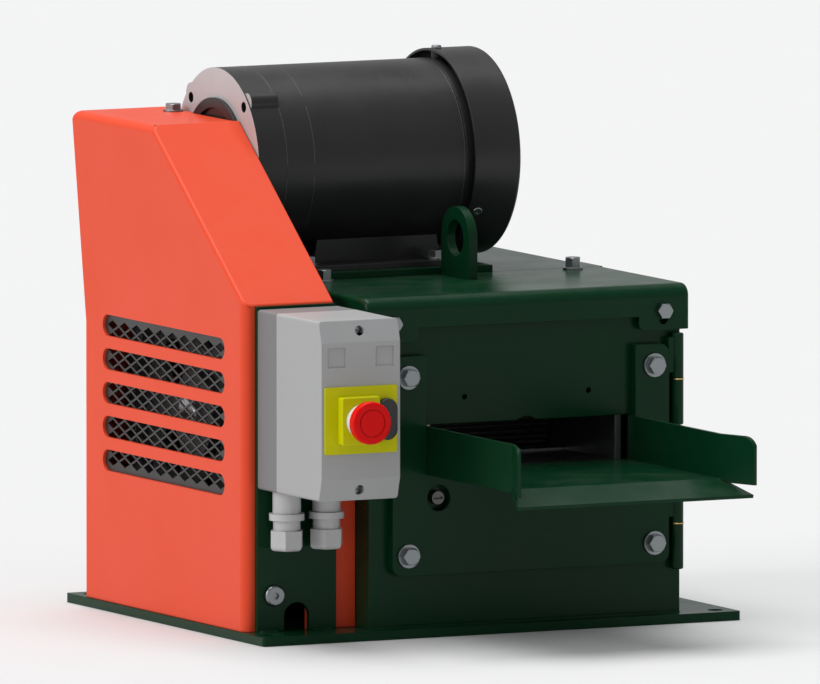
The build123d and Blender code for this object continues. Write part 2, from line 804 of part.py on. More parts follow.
# ---------------------------------------------------------------- throat, bed knife and carrier
guide_back = drum_y + guide_back_reach
bed_knife_front = bed_knife_edge - bed_knife_depth
with BuildPart() as throat_frame:
    for x in ((throat_left - guide_thickness, throat_left), (throat_right, throat_right + guide_thickness)):
        block(x, (front_inner, guide_back), (bed_knife_low, guide_high))
    rod(shaft_hole_r, drum_y, drum_z, (throat_left - 10, throat_right + 10), Mode.SUBTRACT)
    block(
        (throat_left, throat_right),
        (front_inner, bed_knife_front - seat_gap),
        (floor_top - floor_thickness, floor_top),
    )
save(throat_frame.part, "throat_frame")

knife_screw_y = bed_knife_front + bed_knife_depth * 0.42
knife_screw_points = [(throat_x + i * throat_width / 3, knife_screw_y, bed_knife_top) for i in (-1, 0, 1)]
head_drop = 4.4
bed_knife_end_gap = 0.5
with BuildPart() as bed_knife:
    block(
        (throat_left + bed_knife_end_gap, throat_right - bed_knife_end_gap),
        (bed_knife_front, bed_knife_edge),
        (bed_knife_low, bed_knife_top),
    )
    chamfer(bed_knife.edges().filter_by(Axis.X).group_by(Axis.Z)[0].sort_by(Axis.Y)[-1], 4.0)
    with Locations(*knife_screw_points):
        CounterSinkHole(
            knife_screw_r + bolt_clearance,
            knife_screw_r + bolt_clearance + head_drop,
            counter_sink_angle=90,
        )
save(bed_knife.part, "bed_knife")

with BuildPart() as knife_carrier:
    block(
        (left_inner + seat_gap, right_inner - seat_gap),
        (carrier_front, carrier_back),
        (carrier_low, bed_knife_low),
    )
    drill(knife_screw_r, 18.0, facing(UP, *[(x, y, bed_knife_low) for x, y, _ in knife_screw_points]))
    points = [(x, y, carrier_low) for x in carrier_bolt_x for y in carrier_bolt_y]
    drill(carrier_bolt_r, 20.0, facing(DOWN, *points))
save(knife_carrier.part, "knife_carrier")

carrier_bolt = hex_bolt(carrier_bolt_r - 0.1, ledge_height + 16.0, 16.0, 6.4)
carrier_bolt_z = carrier_low - ledge_height
carrier_bolt_points = [(x, y, carrier_bolt_z) for x in carrier_bolt_x for y in carrier_bolt_y]
with BuildPart() as carrier_fasteners:
    for point in knife_screw_points:
        with Locations(facing(UP, point)[0]):
            Cylinder(knife_screw_r - 0.1, bed_knife_thickness + 16.0, align=HIGH_ALIGN)
            with Locations((0, 0, -head_drop - 0.3)):
                Cone(knife_screw_r - 0.1, knife_screw_r + head_drop - 0.3, head_drop, align=LOW_ALIGN)

    with Locations(*facing(DOWN, *carrier_bolt_points)):
        add(carrier_bolt)
save(carrier_fasteners.part, "carrier_fasteners")

# ---------------------------------------------------------------- drum and its shaft
drum_length = drum_right - drum_left
wedge_screw_x = [throat_x + i * drum_length / 4 for i in (-1.5, -0.5, 0.5, 1.5)]


def around_drum(start, count, offset):
    """Sketch locations turned about the drum's axis, offset (radial, tangential)."""
    return [
        Location((
            drum_y + offset[0] * cos(a) - offset[1] * sin(a),
            drum_z + offset[0] * sin(a) + offset[1] * cos(a),
            0,
        ), (0, 0, degrees(a)))
        for a in [radians(start + 360.0 * i / count) for i in range(count)]
    ]


pocket_top = drum_r + 8.5
pocket_width = knife_thickness + wedge_width
with BuildPart() as drum:
    with BuildSketch(Plane.YZ.offset(drum_left)):
        with Locations((drum_y, drum_z)):
            Circle(drum_r)
            Circle(shaft_r, mode=Mode.SUBTRACT)
        with Locations(*around_drum(0, flute_count, (drum_r, 0))):
            Circle(flute_r, mode=Mode.SUBTRACT)
        with Locations(*around_drum(knife_start, knife_count, ((knife_root_r + pocket_top) / 2, 0))):
            Rectangle(pocket_top - knife_root_r, pocket_width, mode=Mode.SUBTRACT)
    extrude(amount=drum_length)
    for i in range(knife_count):
        a = radians(knife_start + 360.0 * i / knife_count)
        out = (0, cos(a), sin(a))
        shift = -knife_thickness / 2
        seat_y = drum_y + knife_root_r * cos(a) - shift * sin(a)
        seat_z = drum_z + knife_root_r * sin(a) + shift * cos(a)
        seats = [(x, seat_y, seat_z) for x in wedge_screw_x]
        with Locations(*[Plane(origin=p, x_dir=(1, 0, 0), z_dir=out) for p in seats]):
            Cylinder(wedge_screw_r, 14.0, align=HIGH_ALIGN, mode=Mode.SUBTRACT)
save(drum.part, "drum")

knife_middle = (pocket_width - knife_thickness) / 2
knife_tip_relief = 0.6  # keeps the knives' corners inside the tip circle
wedge_middle = -(pocket_width - wedge_width) / 2
with BuildPart() as drum_knives:
    with BuildSketch(Plane.YZ.offset(drum_left)):
        middle_r = (knife_root_r + knife_tip_r - knife_tip_relief) / 2
        with Locations(*around_drum(knife_start, knife_count, (middle_r, knife_middle))):
            Rectangle(knife_tip_r - knife_root_r - knife_tip_relief, knife_thickness)
    extrude(amount=drum_length)
save(drum_knives.part, "drum_knives")

wedge_height = wedge_outer_r - knife_root_r
with BuildPart() as knife_wedges:
    with BuildSketch(Plane.YZ.offset(drum_left)):
        middle_r = (knife_root_r + wedge_outer_r) / 2
        with Locations(*around_drum(knife_start, knife_count, (middle_r, wedge_middle))):
            Rectangle(wedge_height, wedge_width)
    extrude(amount=drum_length)
    wedge_tops = []
    for i in range(knife_count):
        a = radians(knife_start + 360.0 * i / knife_count)
        out = (0, cos(a), sin(a))
        wedge_tops += [
            Plane(
                origin=(
                    x,
                    drum_y + wedge_outer_r * cos(a) - wedge_middle * sin(a),
                    drum_z + wedge_outer_r * sin(a) + wedge_middle * cos(a),
                ),
                x_dir=(1, 0, 0),
                z_dir=out,
            )
            for x in wedge_screw_x
        ]
    drill(wedge_screw_r + bolt_clearance, wedge_height, wedge_tops)
save(knife_wedges.part, "knife_wedges")

wedge_screw = round_screw(wedge_screw_r - 0.1, wedge_height + 10.0, 4.6, 2.0, 2.0)
save(group(wedge_screw, wedge_tops), "wedge_screws")

shaft_top = drum_z + shaft_r
key_x = (sheave_left, sheave_right)
key_y = (drum_y - key_width / 2, drum_y + key_width / 2)
with BuildPart() as drum_shaft:
    rod(shaft_r, drum_y, drum_z, (shaft_left, shaft_right))
    chamfer(drum_shaft.edges().filter_by(GeomType.CIRCLE), shaft_chamfer)
    block(key_x, key_y, (shaft_top - key_half_height, shaft_top + 5), Mode.SUBTRACT)
save(drum_shaft.part, "drum_shaft")

with BuildPart() as sheave_key:
    block(key_x, key_y, (shaft_top - key_half_height, shaft_top + key_half_height))
save(sheave_key.part, "sheave_key")

# ---------------------------------------------------------------- bearings
with BuildPart() as bearing_housings:
    for x, side in ((housing_left, LEFT), (housing_right, RIGHT)):
        seat = facing(side, (x, drum_y, drum_z))[0]
        far_end = -1 if side is RIGHT else 0
        with BuildSketch(seat):
            RectangleRounded(flange_size, flange_size, flange_corner)
        extrude(amount=flange_thickness)
        fillet(bearing_housings.faces().sort_by(Axis.X)[far_end].edges(), 2.0)
        with BuildSketch(seat):
            Circle(bearing_boss_r)
        extrude(amount=bearing_depth)
        fillet(bearing_housings.faces().sort_by(Axis.X)[far_end].edges(), 3.0)
        with BuildSketch(seat):
            Circle(ring_r + running_gap)
            with Locations(*bearing_corners):
                Circle(bearing_bolt_r + bolt_clearance)
        extrude(amount=bearing_depth, mode=Mode.SUBTRACT)
save(bearing_housings.part, "bearing_housings")

with BuildPart() as bearing_rings:
    rod(ring_r, drum_y, drum_z, (housing_left - bearing_depth - 2, housing_left - 2))
    rod(ring_r, drum_y, drum_z, (housing_right + 2, housing_right + bearing_depth + 2))
    rod(shaft_r, drum_y, drum_z, (shaft_left, shaft_right), Mode.SUBTRACT)
save(bearing_rings.part, "bearing_rings")

bearing_bolt = hex_bolt(bearing_bolt_r - 0.1, flange_thickness + side_thickness, 19.0, 7.8)
bearing_bolt_planes = []
for x, side in ((housing_left - flange_thickness, LEFT), (housing_right + flange_thickness, RIGHT)):
    bearing_bolt_planes += facing(side, *[(x, drum_y + a, drum_z + b) for a, b in bearing_corners])
save(group(bearing_bolt, bearing_bolt_planes), "bearing_bolts")

# ---------------------------------------------------------------- belt drive
belt_slope = (belt_top_width - belt_bottom_width) / 2 / belt_height
groove_depth = belt_height + groove_extra_depth
groove_top_half = belt_top_width / 2 + groove_gap
groove_low_half = groove_top_half - groove_depth * belt_slope
groove_centres = (drive_x - groove_spacing / 2, drive_x + groove_spacing / 2)


def rim_outline(rim_r, inner_r):
    """Half section of a grooved rim as (x, radius) points."""
    points = [(sheave_left, inner_r), (sheave_left, rim_r)]
    for x in groove_centres:
        points += [
            (x - groove_top_half, rim_r),
            (x - groove_low_half, rim_r - groove_depth),
            (x + groove_low_half, rim_r - groove_depth),
            (x + groove_top_half, rim_r),
        ]
    return points + [(sheave_right, rim_r), (sheave_right, inner_r)]


def section_plane(y, z):
    """Plane through an X-wise axis: local x is X, local y is the distance above the axis."""
    return Plane(origin=(0, y, z), x_dir=(1, 0, 0), z_dir=(0, -1, 0))


with BuildPart() as driven_sheave:
    with BuildSketch(section_plane(drum_y, drum_z)):
        with BuildLine():
            Polyline(*rim_outline(sheave_r, sheave_r - sheave_rim), close=True)
        make_face()
        with Locations((drive_x, (sheave_hub_r + sheave_r - sheave_rim) / 2)):
            Rectangle(sheave_web, sheave_r - sheave_rim - sheave_hub_r + 2)
        with Locations((drive_x, (bush_r + sheave_hub_r) / 2)):
            Rectangle(sheave_face, sheave_hub_r - bush_r)
    revolve(axis=Axis((0, drum_y, drum_z), (1, 0, 0)))
    web_hole_r = (sheave_hub_r + sheave_r - sheave_rim) / 2
    with BuildSketch(Plane.YZ.offset(sheave_left)):
        with Locations(*around_drum(30, sheave_hole_count, (web_hole_r, 0))):
            Circle(sheave_hole_r)
    extrude(amount=sheave_face, mode=Mode.SUBTRACT)
save(driven_sheave.part, "driven_sheave")

with BuildPart() as sheave_bush:
    rod(bush_r, drum_y, drum_z, (sheave_left, sheave_right))
    rod(shaft_r, drum_y, drum_z, (sheave_left - 1, sheave_right + 1), Mode.SUBTRACT)
    block(key_x, key_y, (shaft_top - 1, shaft_top + key_half_height), Mode.SUBTRACT)
save(sheave_bush.part, "sheave_bush")

with BuildPart() as motor_pulley:
    with BuildSketch(section_plane(motor_y, motor_z)):
        with BuildLine():
            Polyline(*rim_outline(pulley_r, motor_shaft_r), close=True)
        make_face()
    revolve(axis=Axis((0, motor_y, motor_z), (1, 0, 0)))
save(motor_pulley.part, "motor_pulley")

belt_run = hypot(motor_y - drum_y, motor_z - drum_z)
belt_lean = degrees(atan2(motor_z - drum_z, motor_y - drum_y))
belt_wrap = degrees(acos((sheave_r - pulley_r) / belt_run))
up_side, low_side = belt_lean + belt_wrap, belt_lean - belt_wrap


def on_circle(centre, radius, angle):
    """Point on a circle in the belt plane."""
    return (centre[0] + radius * cos(radians(angle)), centre[1] + radius * sin(radians(angle)))


drum_axis, motor_axis = (drum_y, drum_z), (motor_y, motor_z)
with BuildPart() as drive_belts:
    for x in groove_centres:
        with BuildLine(Plane.YZ.offset(x)) as belt_path:
            CenterArc(drum_axis, sheave_r, up_side, 360 - 2 * belt_wrap)
            Line(on_circle(drum_axis, sheave_r, low_side), on_circle(motor_axis, pulley_r, low_side))
            CenterArc(motor_axis, pulley_r, low_side, 2 * belt_wrap)
            Line(on_circle(motor_axis, pulley_r, up_side), on_circle(drum_axis, sheave_r, up_side))
        start = on_circle(drum_axis, sheave_r, low_side)
        along = (0, -sin(radians(low_side)), cos(radians(low_side)))
        with BuildSketch(Plane(origin=(x, start[0], start[1]), x_dir=(1, 0, 0), z_dir=along)):
            with BuildLine():
                Polyline(
                    (-belt_top_width / 2, 0),
                    (belt_top_width / 2, 0),
                    (belt_bottom_width / 2, -belt_height),
                    (-belt_bottom_width / 2, -belt_height),
                    close=True,
                )
            make_face()
        sweep(path=belt_path.wire())
save(drive_belts.part, "drive_belts")

# ---------------------------------------------------------------- belt guard
guard_outline = [
    (guard_back, guard_low),
    (guard_back, guard_back_knee_z),
    (guard_top_back, guard_top),
    (guard_top_front, guard_top),
    (guard_front, guard_knee_z),
    (guard_front, guard_low),
]
guard_top_bolt_x = guard_inner_x - guard_bolt_inset
guard_top_bolt_y = motor_y + guard_bolt_behind
front_bolt_x = bracket_x - bracket_width / 2 + bracket_bolt_inset
front_bolt_z = base_thickness + bracket_bolt_height
vent_levels = [vent_z + vent_pitch * (i - (vent_rows - 1) / 2) for i in range(vent_rows)]

with BuildPart() as belt_guard:
    with BuildSketch(Plane.YZ.offset(guard_x)):
        with BuildLine():
            Polyline(*guard_outline, close=True)
        make_face()
    extrude(amount=guard_inner_x - guard_x)
    outer_edges = belt_guard.edges().group_by(Axis.X)[0].sort_by(Axis.Z)[1:]
    behind = outer_edges.filter_by(lambda e: e.center().Y > guard_back - 1)
    fillet(behind.filter_by(lambda e: e.center().Z < guard_top - 1), guard_back_bend)
    outer_edges = belt_guard.edges().group_by(Axis.X)[0].sort_by(Axis.Z)[1:]
    ahead = outer_edges.filter_by(lambda e: e.center().Y < guard_back - 1)
    fillet(ahead.filter_by(lambda e: abs(e.tangent_at(0.5).Y * e.tangent_at(0.5).Z) < 0.1), guard_bend)
    outer_edges = belt_guard.edges().group_by(Axis.X)[0].sort_by(Axis.Z)[1:]
    slope_edges = outer_edges.filter_by(GeomType.LINE).filter_by(
        lambda e: guard_front < e.center().Y < guard_top_front
    )
    fillet(slope_edges, guard_slope_bend)
    block((guard_inner_x - 1, guard_lower_x), (guard_front, guard_back), (guard_low, guard_shelf_z))
    with BuildSketch(Plane.YZ.offset(guard_x + sheet)):
        with BuildLine():
            Polyline(*guard_outline, close=True)
        make_face()
        offset(amount=-sheet, mode=Mode.REPLACE)
    extrude(amount=guard_inner_x - guard_x, mode=Mode.SUBTRACT)
    block(
        (guard_x + sheet, guard_lower_x + 1),
        (guard_front + sheet, guard_back - sheet),
        (guard_low - 1, guard_shelf_z - sheet),
        Mode.SUBTRACT,
    )
    with BuildSketch(Plane.YZ.offset(guard_x)):
        with Locations(*[(vent_y, z) for z in vent_levels]):
            SlotOverall(2 * vent_half_length, vent_height)
    extrude(amount=sheet, mode=Mode.SUBTRACT)
    arch_left = guard_arch_x - guard_arch_half
    arch_right = guard_arch_x + guard_arch_half
    block(
        (arch_left, arch_right),
        (guard_front - 1, guard_front + sheet + 1),
        (0, base_thickness + guard_arch_rise),
        Mode.SUBTRACT,
    )
    rod(pilot_r + pilot_gap, motor_y, motor_z, (face_x - pilot_length - 1, guard_inner_x + 1), Mode.SUBTRACT)
    drill(guard_bolt_r + bolt_clearance, sheet, facing(UP, (guard_top_bolt_x, guard_top_bolt_y, guard_top)))
    drill(guard_bolt_r + bolt_clearance, sheet, facing(FRONT, (front_bolt_x, guard_front, front_bolt_z)))
save(belt_guard.part, "belt_guard")

mesh_columns = int(2 * vent_half_length / mesh_long)
mesh_lines = int((vent_pitch * (vent_rows - 1) + vent_height) / mesh_short)
mesh_half_y = vent_half_length + 6.0
mesh_half_z = vent_pitch * (vent_rows - 1) / 2 + vent_height / 2 + 5.0
diamond_y = (mesh_long - mesh_strand * 1.6) / 2
diamond_z = (mesh_short - mesh_strand) / 2
diamond = ((-diamond_y, 0), (0, -diamond_z), (diamond_y, 0), (0, diamond_z))
with BuildPart() as guard_mesh:
    with BuildSketch(Plane.YZ.offset(guard_x + sheet)):
        with Locations((vent_y, vent_z)):
            Rectangle(2 * mesh_half_y, 2 * mesh_half_z)
            for columns, lines in ((mesh_columns, mesh_lines), (mesh_columns - 1, mesh_lines - 1)):
                with GridLocations(mesh_long, mesh_short, columns, lines):
                    Polygon(*diamond, mode=Mode.SUBTRACT)
    extrude(amount=mesh_thickness)
save(guard_mesh.part, "guard_mesh")

strut_front = motor_y + pilot_r + pilot_gap
strut_y = (strut_front, strut_front + strut_width)
strut_x = (guard_inner_x - strut_thickness, guard_inner_x)
strut_seat_x = (housing_left - strut_thickness, housing_left)
strut_low = strut_step_z - 30.0
strut_screw_point = (strut_seat_x[0], (strut_y[0] + strut_y[1]) / 2, strut_step_z - 16.0)
with BuildPart() as guard_strut:
    block(strut_x, strut_y, (strut_step_z, guard_top - sheet))
    block(
        (guard_top_bolt_x - guard_bolt_inset, strut_x[0] + 0.5),
        (guard_top_bolt_y - 10, strut_y[1]),
        (guard_top - sheet - strut_thickness, guard_top - sheet),
    )
    block((strut_x[0], housing_left), strut_y, (strut_step_z, strut_step_z + strut_thickness))
    block(strut_seat_x, strut_y, (strut_low, strut_step_z + strut_thickness))
    points = [(guard_top_bolt_x, guard_top_bolt_y, guard_top - sheet)]
    drill(guard_bolt_r, strut_thickness, facing(UP, *points))
    drill(strut_screw_r, strut_thickness, facing(LEFT, strut_screw_point))
save(guard_strut.part, "guard_strut")

guard_hex = hex_bolt(guard_bolt_r - 0.1, 12.0, 13.0, 5.5, 9.0, 1.6)
strut_hex = hex_bolt(strut_screw_r - 0.1, strut_thickness, 10.0, 4.0)

# ---------------------------------------------------------------- control bracket and box
with BuildPart() as control_bracket:
    with BuildSketch(Plane.XZ.offset(-bracket_back)):
        with Locations((bracket_x, (base_thickness + bracket_top) / 2)):
            Rectangle(bracket_width, bracket_top - base_thickness)
        arch_top = base_thickness + bracket_arch_rise - bracket_arch_half
        with Locations((bracket_x, arch_top)):
            Circle(bracket_arch_half, mode=Mode.SUBTRACT)
        with Locations((bracket_x, arch_top / 2)):
            Rectangle(2 * bracket_arch_half, arch_top, mode=Mode.SUBTRACT)
        with Locations((front_bolt_x, front_bolt_z)):
            Circle(guard_bolt_r + bolt_clearance, mode=Mode.SUBTRACT)
    extrude(amount=bracket_thickness)
    box_screw_x = (box_x - box_screw_span / 2, box_x + box_screw_span / 2)
    box_screw_z = (box_low + box_screw_end, box_high - box_screw_end)
    points = [(x, bracket_front, z) for x in box_screw_x for z in box_screw_z]
    drill(box_screw_r, bracket_thickness, facing(FRONT, *points))
save(control_bracket.part, "control_bracket")
front_bolt = round_screw(guard_bolt_r - 0.1, bracket_thickness + sheet + 8.0, 9.5, 5.0, 3.2)
with BuildPart() as guard_bolts:
    with Locations(*facing(FRONT, (front_bolt_x, bracket_front, front_bolt_z))):
        add(front_bolt)
    with Locations(*facing(UP, (guard_top_bolt_x, guard_top_bolt_y, guard_top))):
        add(guard_hex)
    with Locations(*facing(LEFT, strut_screw_point)):
        add(strut_hex)
save(guard_bolts.part, "guard_bolts")

box_left = box_x - box_width / 2
box_right = box_x + box_width / 2
gland_x = (box_x - gland_span / 2, box_x + gland_span / 2)
gland_y = box_back - gland_y_inset
with BuildPart() as box_base:
    block((box_left, box_right), (box_mid, box_back), (box_low, box_high))
    fillet(box_base.edges().filter_by(Axis.Y), box_bend)
    block(
        (box_left + box_wall, box_right - box_wall),
        (box_mid - 1, box_back - box_wall),
        (box_low + box_wall, box_high - box_wall),
        Mode.SUBTRACT,
    )
    drill(gland_bore_r, box_wall, facing(DOWN, *[(x, gland_y, box_low) for x in gland_x]))
    box_screw_points = [(x, box_back - box_wall, z) for x in box_screw_x for z in box_screw_z]
    drill(box_screw_r + bolt_clearance, box_wall, facing(FRONT, *box_screw_points))
save(box_base.part, "box_base")

cover_screw_z = (box_low + cover_screw_drop, box_high - cover_screw_drop)
window_middle = button_x + window_offset
window_x = (window_middle - window_span / 2, window_middle + window_span / 2)
with BuildPart() as box_cover:
    with BuildSketch(Plane.YZ.offset(box_left)):
        with BuildLine():
            Polyline(
                (box_mid, box_low),
                (box_front + box_bevel_depth, box_low),
                (box_front, box_low + box_bevel_height),
                (box_front, box_high - box_bevel_height),
                (box_front + box_bevel_depth, box_high),
                (box_mid, box_high),
                close=True,
            )
        make_face()
    extrude(amount=box_width)
    with BuildSketch(Plane.XY.offset(box_low)):
        with BuildLine():
            Polyline(
                (box_left, box_mid),
                (box_left + box_draft, box_front),
                (box_right - box_draft, box_front),
                (box_right, box_mid),
                close=True,
            )
        make_face()
    extrude(amount=box_height, mode=Mode.INTERSECT)
    long_edges = box_cover.edges().filter_by(lambda e: e.length > box_depth * 0.5)
    fillet(long_edges.filter_by(lambda e: abs(e.tangent_at(0.5).Y) > 0.9), box_bend)
    block(
        (box_left + box_draft + box_wall, box_right - box_draft - box_wall),
        (box_front + box_wall, box_mid + 1),
        (box_low + box_bevel_height * 0.6, box_high - box_bevel_height * 0.6),
        Mode.SUBTRACT,
    )
    drill(cover_recess_r, cover_recess_depth, facing(FRONT, *[(box_x, box_front, z) for z in cover_screw_z]))
    drill(1.8, 90.0, facing(FRONT, *[(box_x, box_front, z) for z in cover_screw_z]))
    for x in window_x:
        block(
            (x - window_size / 2, x + window_size / 2),
            (box_front - 1, box_front + 1.2),
            (window_z - window_size / 2, window_z + window_size / 2),
            Mode.SUBTRACT,
        )
    drill(stem_r + 2.0, box_wall + 1, facing(FRONT, (button_x, box_front, button_z)))
save(box_cover.part, "box_cover")

base_screw = round_screw(box_screw_r - 0.1, box_wall + bracket_thickness, 4.2, 3.0, 1.6)
with BuildPart() as box_screws:
    for z in cover_screw_z:
        with Locations(*facing(FRONT, (box_x, box_front + cover_recess_depth, z))):
            Cylinder(3.6, 3.0, align=LOW_ALIGN)
            Cylinder(1.7, 60.0, align=HIGH_ALIGN)
        block((box_x - 3, box_x + 3), (box_front + 8.5, box_front + 10.2), (z - 0.5, z + 0.5), Mode.SUBTRACT)
    with Locations(*facing(FRONT, *box_screw_points)):
        add(base_screw)
save(box_screws.part, "box_screws")

rail_y = (box_back - box_wall - 3.5, box_back - box_wall)
contactor_depth = 64.0
contactor_low = box_low + 36.0
contactor_high = contactor_low + 72.0
with BuildPart() as contactor:
    block((box_x - 28, box_x + 24), (rail_y[0] - contactor_depth, rail_y[0]), (contactor_low, contactor_high))
    block((box_x - 30, box_x + 26), rail_y, (contactor_low - 2, contactor_high + 2))
    for x in (-20, -2, 16):
        for z in (contactor_low + 6, contactor_high - 6):
            block(
                (box_x + x - 5, box_x + x + 5),
                (box_mid - 32, box_mid - 18),
                (z - 7, z + 7),
                Mode.SUBTRACT,
            )
save(contactor.part, "contactor")

with BuildPart() as button_plate:
    with BuildSketch(Plane.XZ.offset(-box_front)):
        with Locations((box_x - 0.8, button_z)):
            RectangleRounded(button_plate_width, button_plate_height, 1.5)
        with Locations((button_x, button_z)):
            Circle(stem_r + 2.0, mode=Mode.SUBTRACT)
    extrude(amount=button_plate_thickness)
save(button_plate.part, "button_plate")

with BuildPart() as button_block:
    with BuildSketch(Plane.XZ.offset(-button_plate_front)):
        with Locations((button_x, button_z)):
            RectangleRounded(button_block_width, button_block_height, 2.0)
            Circle(stem_r + 1.0, mode=Mode.SUBTRACT)
    extrude(amount=button_block_depth)
    chamfer(button_block.faces().sort_by(Axis.Y)[0].outer_wire().edges(), 0.8)
    with BuildSketch(Plane.XZ.offset(-button_block_front)):
        with Locations((button_x, button_z)):
            Circle(collar_r)
            Circle(stem_r + running_gap, mode=Mode.SUBTRACT)
    extrude(amount=collar_length)
    chamfer(button_block.faces().sort_by(Axis.Y)[0].outer_wire().edges(), 0.8)
save(button_block.part, "button_block")

padlock_left = button_x + button_block_width / 2 + 0.2
with BuildPart() as padlock_piece:
    with BuildSketch(Plane.XZ.offset(-button_plate_front)):
        with Locations((padlock_left + backing_reach / 2, button_z)):
            SlotOverall(backing_height, backing_reach, rotation=90)
    extrude(amount=button_block_depth * 0.7)
    fillet(padlock_piece.faces().sort_by(Axis.Y)[0].outer_wire().edges(), 1.5)
save(padlock_piece.part, "padlock_piece")

button_front = button_back - button_height
ring_groove_r = 12.4
with BuildPart() as stop_button:
    with Locations(*facing(FRONT, (button_x, button_back, button_z))):
        Cylinder(button_r, button_height, align=LOW_ALIGN)
    fillet(stop_button.edges().sort_by(Axis.Y)[0], 2.5)
    fillet(stop_button.edges().filter_by(GeomType.CIRCLE).sort_by(Axis.Y)[-1], 1.0)
    with BuildSketch(Plane.XZ.offset(-button_front)):
        with Locations((button_x, button_z)):
            Circle(ring_groove_r)
            Circle(ring_groove_r - 1.0, mode=Mode.SUBTRACT)
    extrude(amount=-1.0, mode=Mode.SUBTRACT)
    with Locations(*facing(BACK, (button_x, button_back - 1, button_z))):
        Cylinder(stem_r, box_front + box_wall + 2 - button_back, align=LOW_ALIGN)
save(stop_button.part, "stop_button")

with BuildPart() as cable_glands:
    for x in gland_x:
        top = box_low
        for r, length in ((12.5, 20.5), (15.5, 6.0), (12.0, 9.0)):
            with Locations((x, gland_y, top)):
                Cylinder(r, length, align=HIGH_ALIGN)
            top -= length
        with BuildSketch(Plane.XY.offset(top)):
            with Locations((x, gland_y)):
                RegularPolygon(gland_flats / sqrt(3), 6)
        extrude(amount=-18.0)
        with Locations((x, gland_y, box_low + box_wall)):
            Cylinder(gland_bore_r - 0.1, box_wall + 1, align=HIGH_ALIGN)
        with Locations((x, gland_y, box_low + box_wall)):
            Cylinder(12.0, 4.0, align=LOW_ALIGN)
            Cylinder(gland_cable_r, gland_cut, mode=Mode.SUBTRACT)
    fillet(cable_glands.edges().group_by(Axis.Z)[0].filter_by(GeomType.LINE), 4.0)
save(cable_glands.part, "cable_glands")

# ---------------------------------------------------------------- motor
with BuildPart() as motor_plate:
    block(
        (motor_plate_left, motor_plate_right),
        (platform_front, motor_plate_back),
        (cover_top, motor_plate_top),
    )
    points = [(x, y, motor_plate_top) for x in foot_x for y in foot_y]
    drill(foot_bolt_r, motor_plate_thickness, facing(UP, *points))
save(motor_plate.part, "motor_plate")

hood_screw_x = hood_left + 7.0
hood_seats = [
    Plane(
        origin=(hood_screw_x, motor_y + hood_r * cos(a), motor_z + hood_r * sin(a)),
        x_dir=(1, 0, 0),
        z_dir=(0, cos(a), sin(a)),
    )
    for a in (radians(90), radians(210), radians(330))
]
bell_end = face_x + front_bell_length
rear_end = motor_body_end + rear_bell_length
with BuildPart() as motor_frame:
    rod(motor_r, motor_y, motor_z, (bell_end, motor_body_end))
    rod(motor_r - frame_wall, motor_y, motor_z, (bell_end - 1, motor_body_end + 1), Mode.SUBTRACT)
save(motor_frame.part, "motor_frame")

face_bolt_circle = motor_r - face_bolt_inset
face_points = [
    (face_x, motor_y + face_bolt_circle * cos(radians(a)), motor_z + face_bolt_circle * sin(radians(a)))
    for a in (45, 135, 225, 315)
]
with BuildPart() as motor_front_bell:
    rod(motor_r, motor_y, motor_z, (face_x, bell_end))
    for _, y, z in face_points:
        rod(9.0, motor_y + (y - motor_y) * 1.07, motor_z + (z - motor_z) * 1.07, (face_x + 1.5, bell_end))
    rod(motor_r - frame_wall, motor_y, motor_z, (face_x + 12.0, bell_end + 1), Mode.SUBTRACT)
    rod(bearing_seat_r + 7, motor_y, motor_z, (face_x + 11.0, bell_end - 4))
    rod(pilot_r, motor_y, motor_z, (face_x - pilot_length, face_x + 1))
    rod(pilot_r - 9, motor_y, motor_z, (face_x - pilot_length - 1, face_x - 1), Mode.SUBTRACT)
    rod(bearing_seat_r + running_gap, motor_y, motor_z, (face_x + 6.0, bell_end), Mode.SUBTRACT)
    rod(motor_shaft_r + 1.0, motor_y, motor_z, (face_x - 10, bell_end), Mode.SUBTRACT)
    drill(4.75, 20.0, facing(LEFT, *face_points))
save(motor_front_bell.part, "motor_front_bell")

with BuildPart() as motor_rear_bell:
    rod(motor_r, motor_y, motor_z, (motor_body_end, rear_end))
    rod(bearing_seat_r + 7, motor_y, motor_z, (motor_body_end - 12, motor_body_end + 1))
    rod(bearing_seat_r + running_gap, motor_y, motor_z, (motor_body_end - 13, rear_end - 3.0), Mode.SUBTRACT)
    rod(motor_shaft_r + 1.0, motor_y, motor_z, (motor_body_end - 13, rear_end + 1), Mode.SUBTRACT)
    for seat in hood_seats:
        with BuildSketch(seat.offset(-hood_sheet - seat_gap)):
            Circle(4.5)
            Circle(2.2, mode=Mode.SUBTRACT)
        extrude(amount=-(hood_r - hood_sheet - motor_r) - 3.0)
save(motor_rear_bell.part, "motor_rear_bell")

with BuildPart() as motor_bearings:
    rod(bearing_seat_r, motor_y, motor_z, (face_x + 6.5, bell_end - 4.5))
    rod(bearing_seat_r, motor_y, motor_z, (motor_body_end - 12, rear_end - 3.3))
    rod(motor_shaft_r, motor_y, motor_z, (face_x, rear_end), Mode.SUBTRACT)
save(motor_bearings.part, "motor_bearings")

with BuildPart() as motor_stator:
    rod(motor_r - frame_wall, motor_y, motor_z, (stator_left, stator_right))
    rod(rotor_r + stator_build, motor_y, motor_z, (stator_left - 16, stator_right + 16))
    rod(rotor_r + stator_gap, motor_y, motor_z, (stator_left - 17, stator_right + 17), Mode.SUBTRACT)
save(motor_stator.part, "motor_stator")

with BuildPart() as motor_rotor:
    rod(rotor_r, motor_y, motor_z, (stator_left, stator_right))
    rod(motor_shaft_r, motor_y, motor_z, (stator_left - 1, stator_right + 1), Mode.SUBTRACT)
save(motor_rotor.part, "motor_rotor")

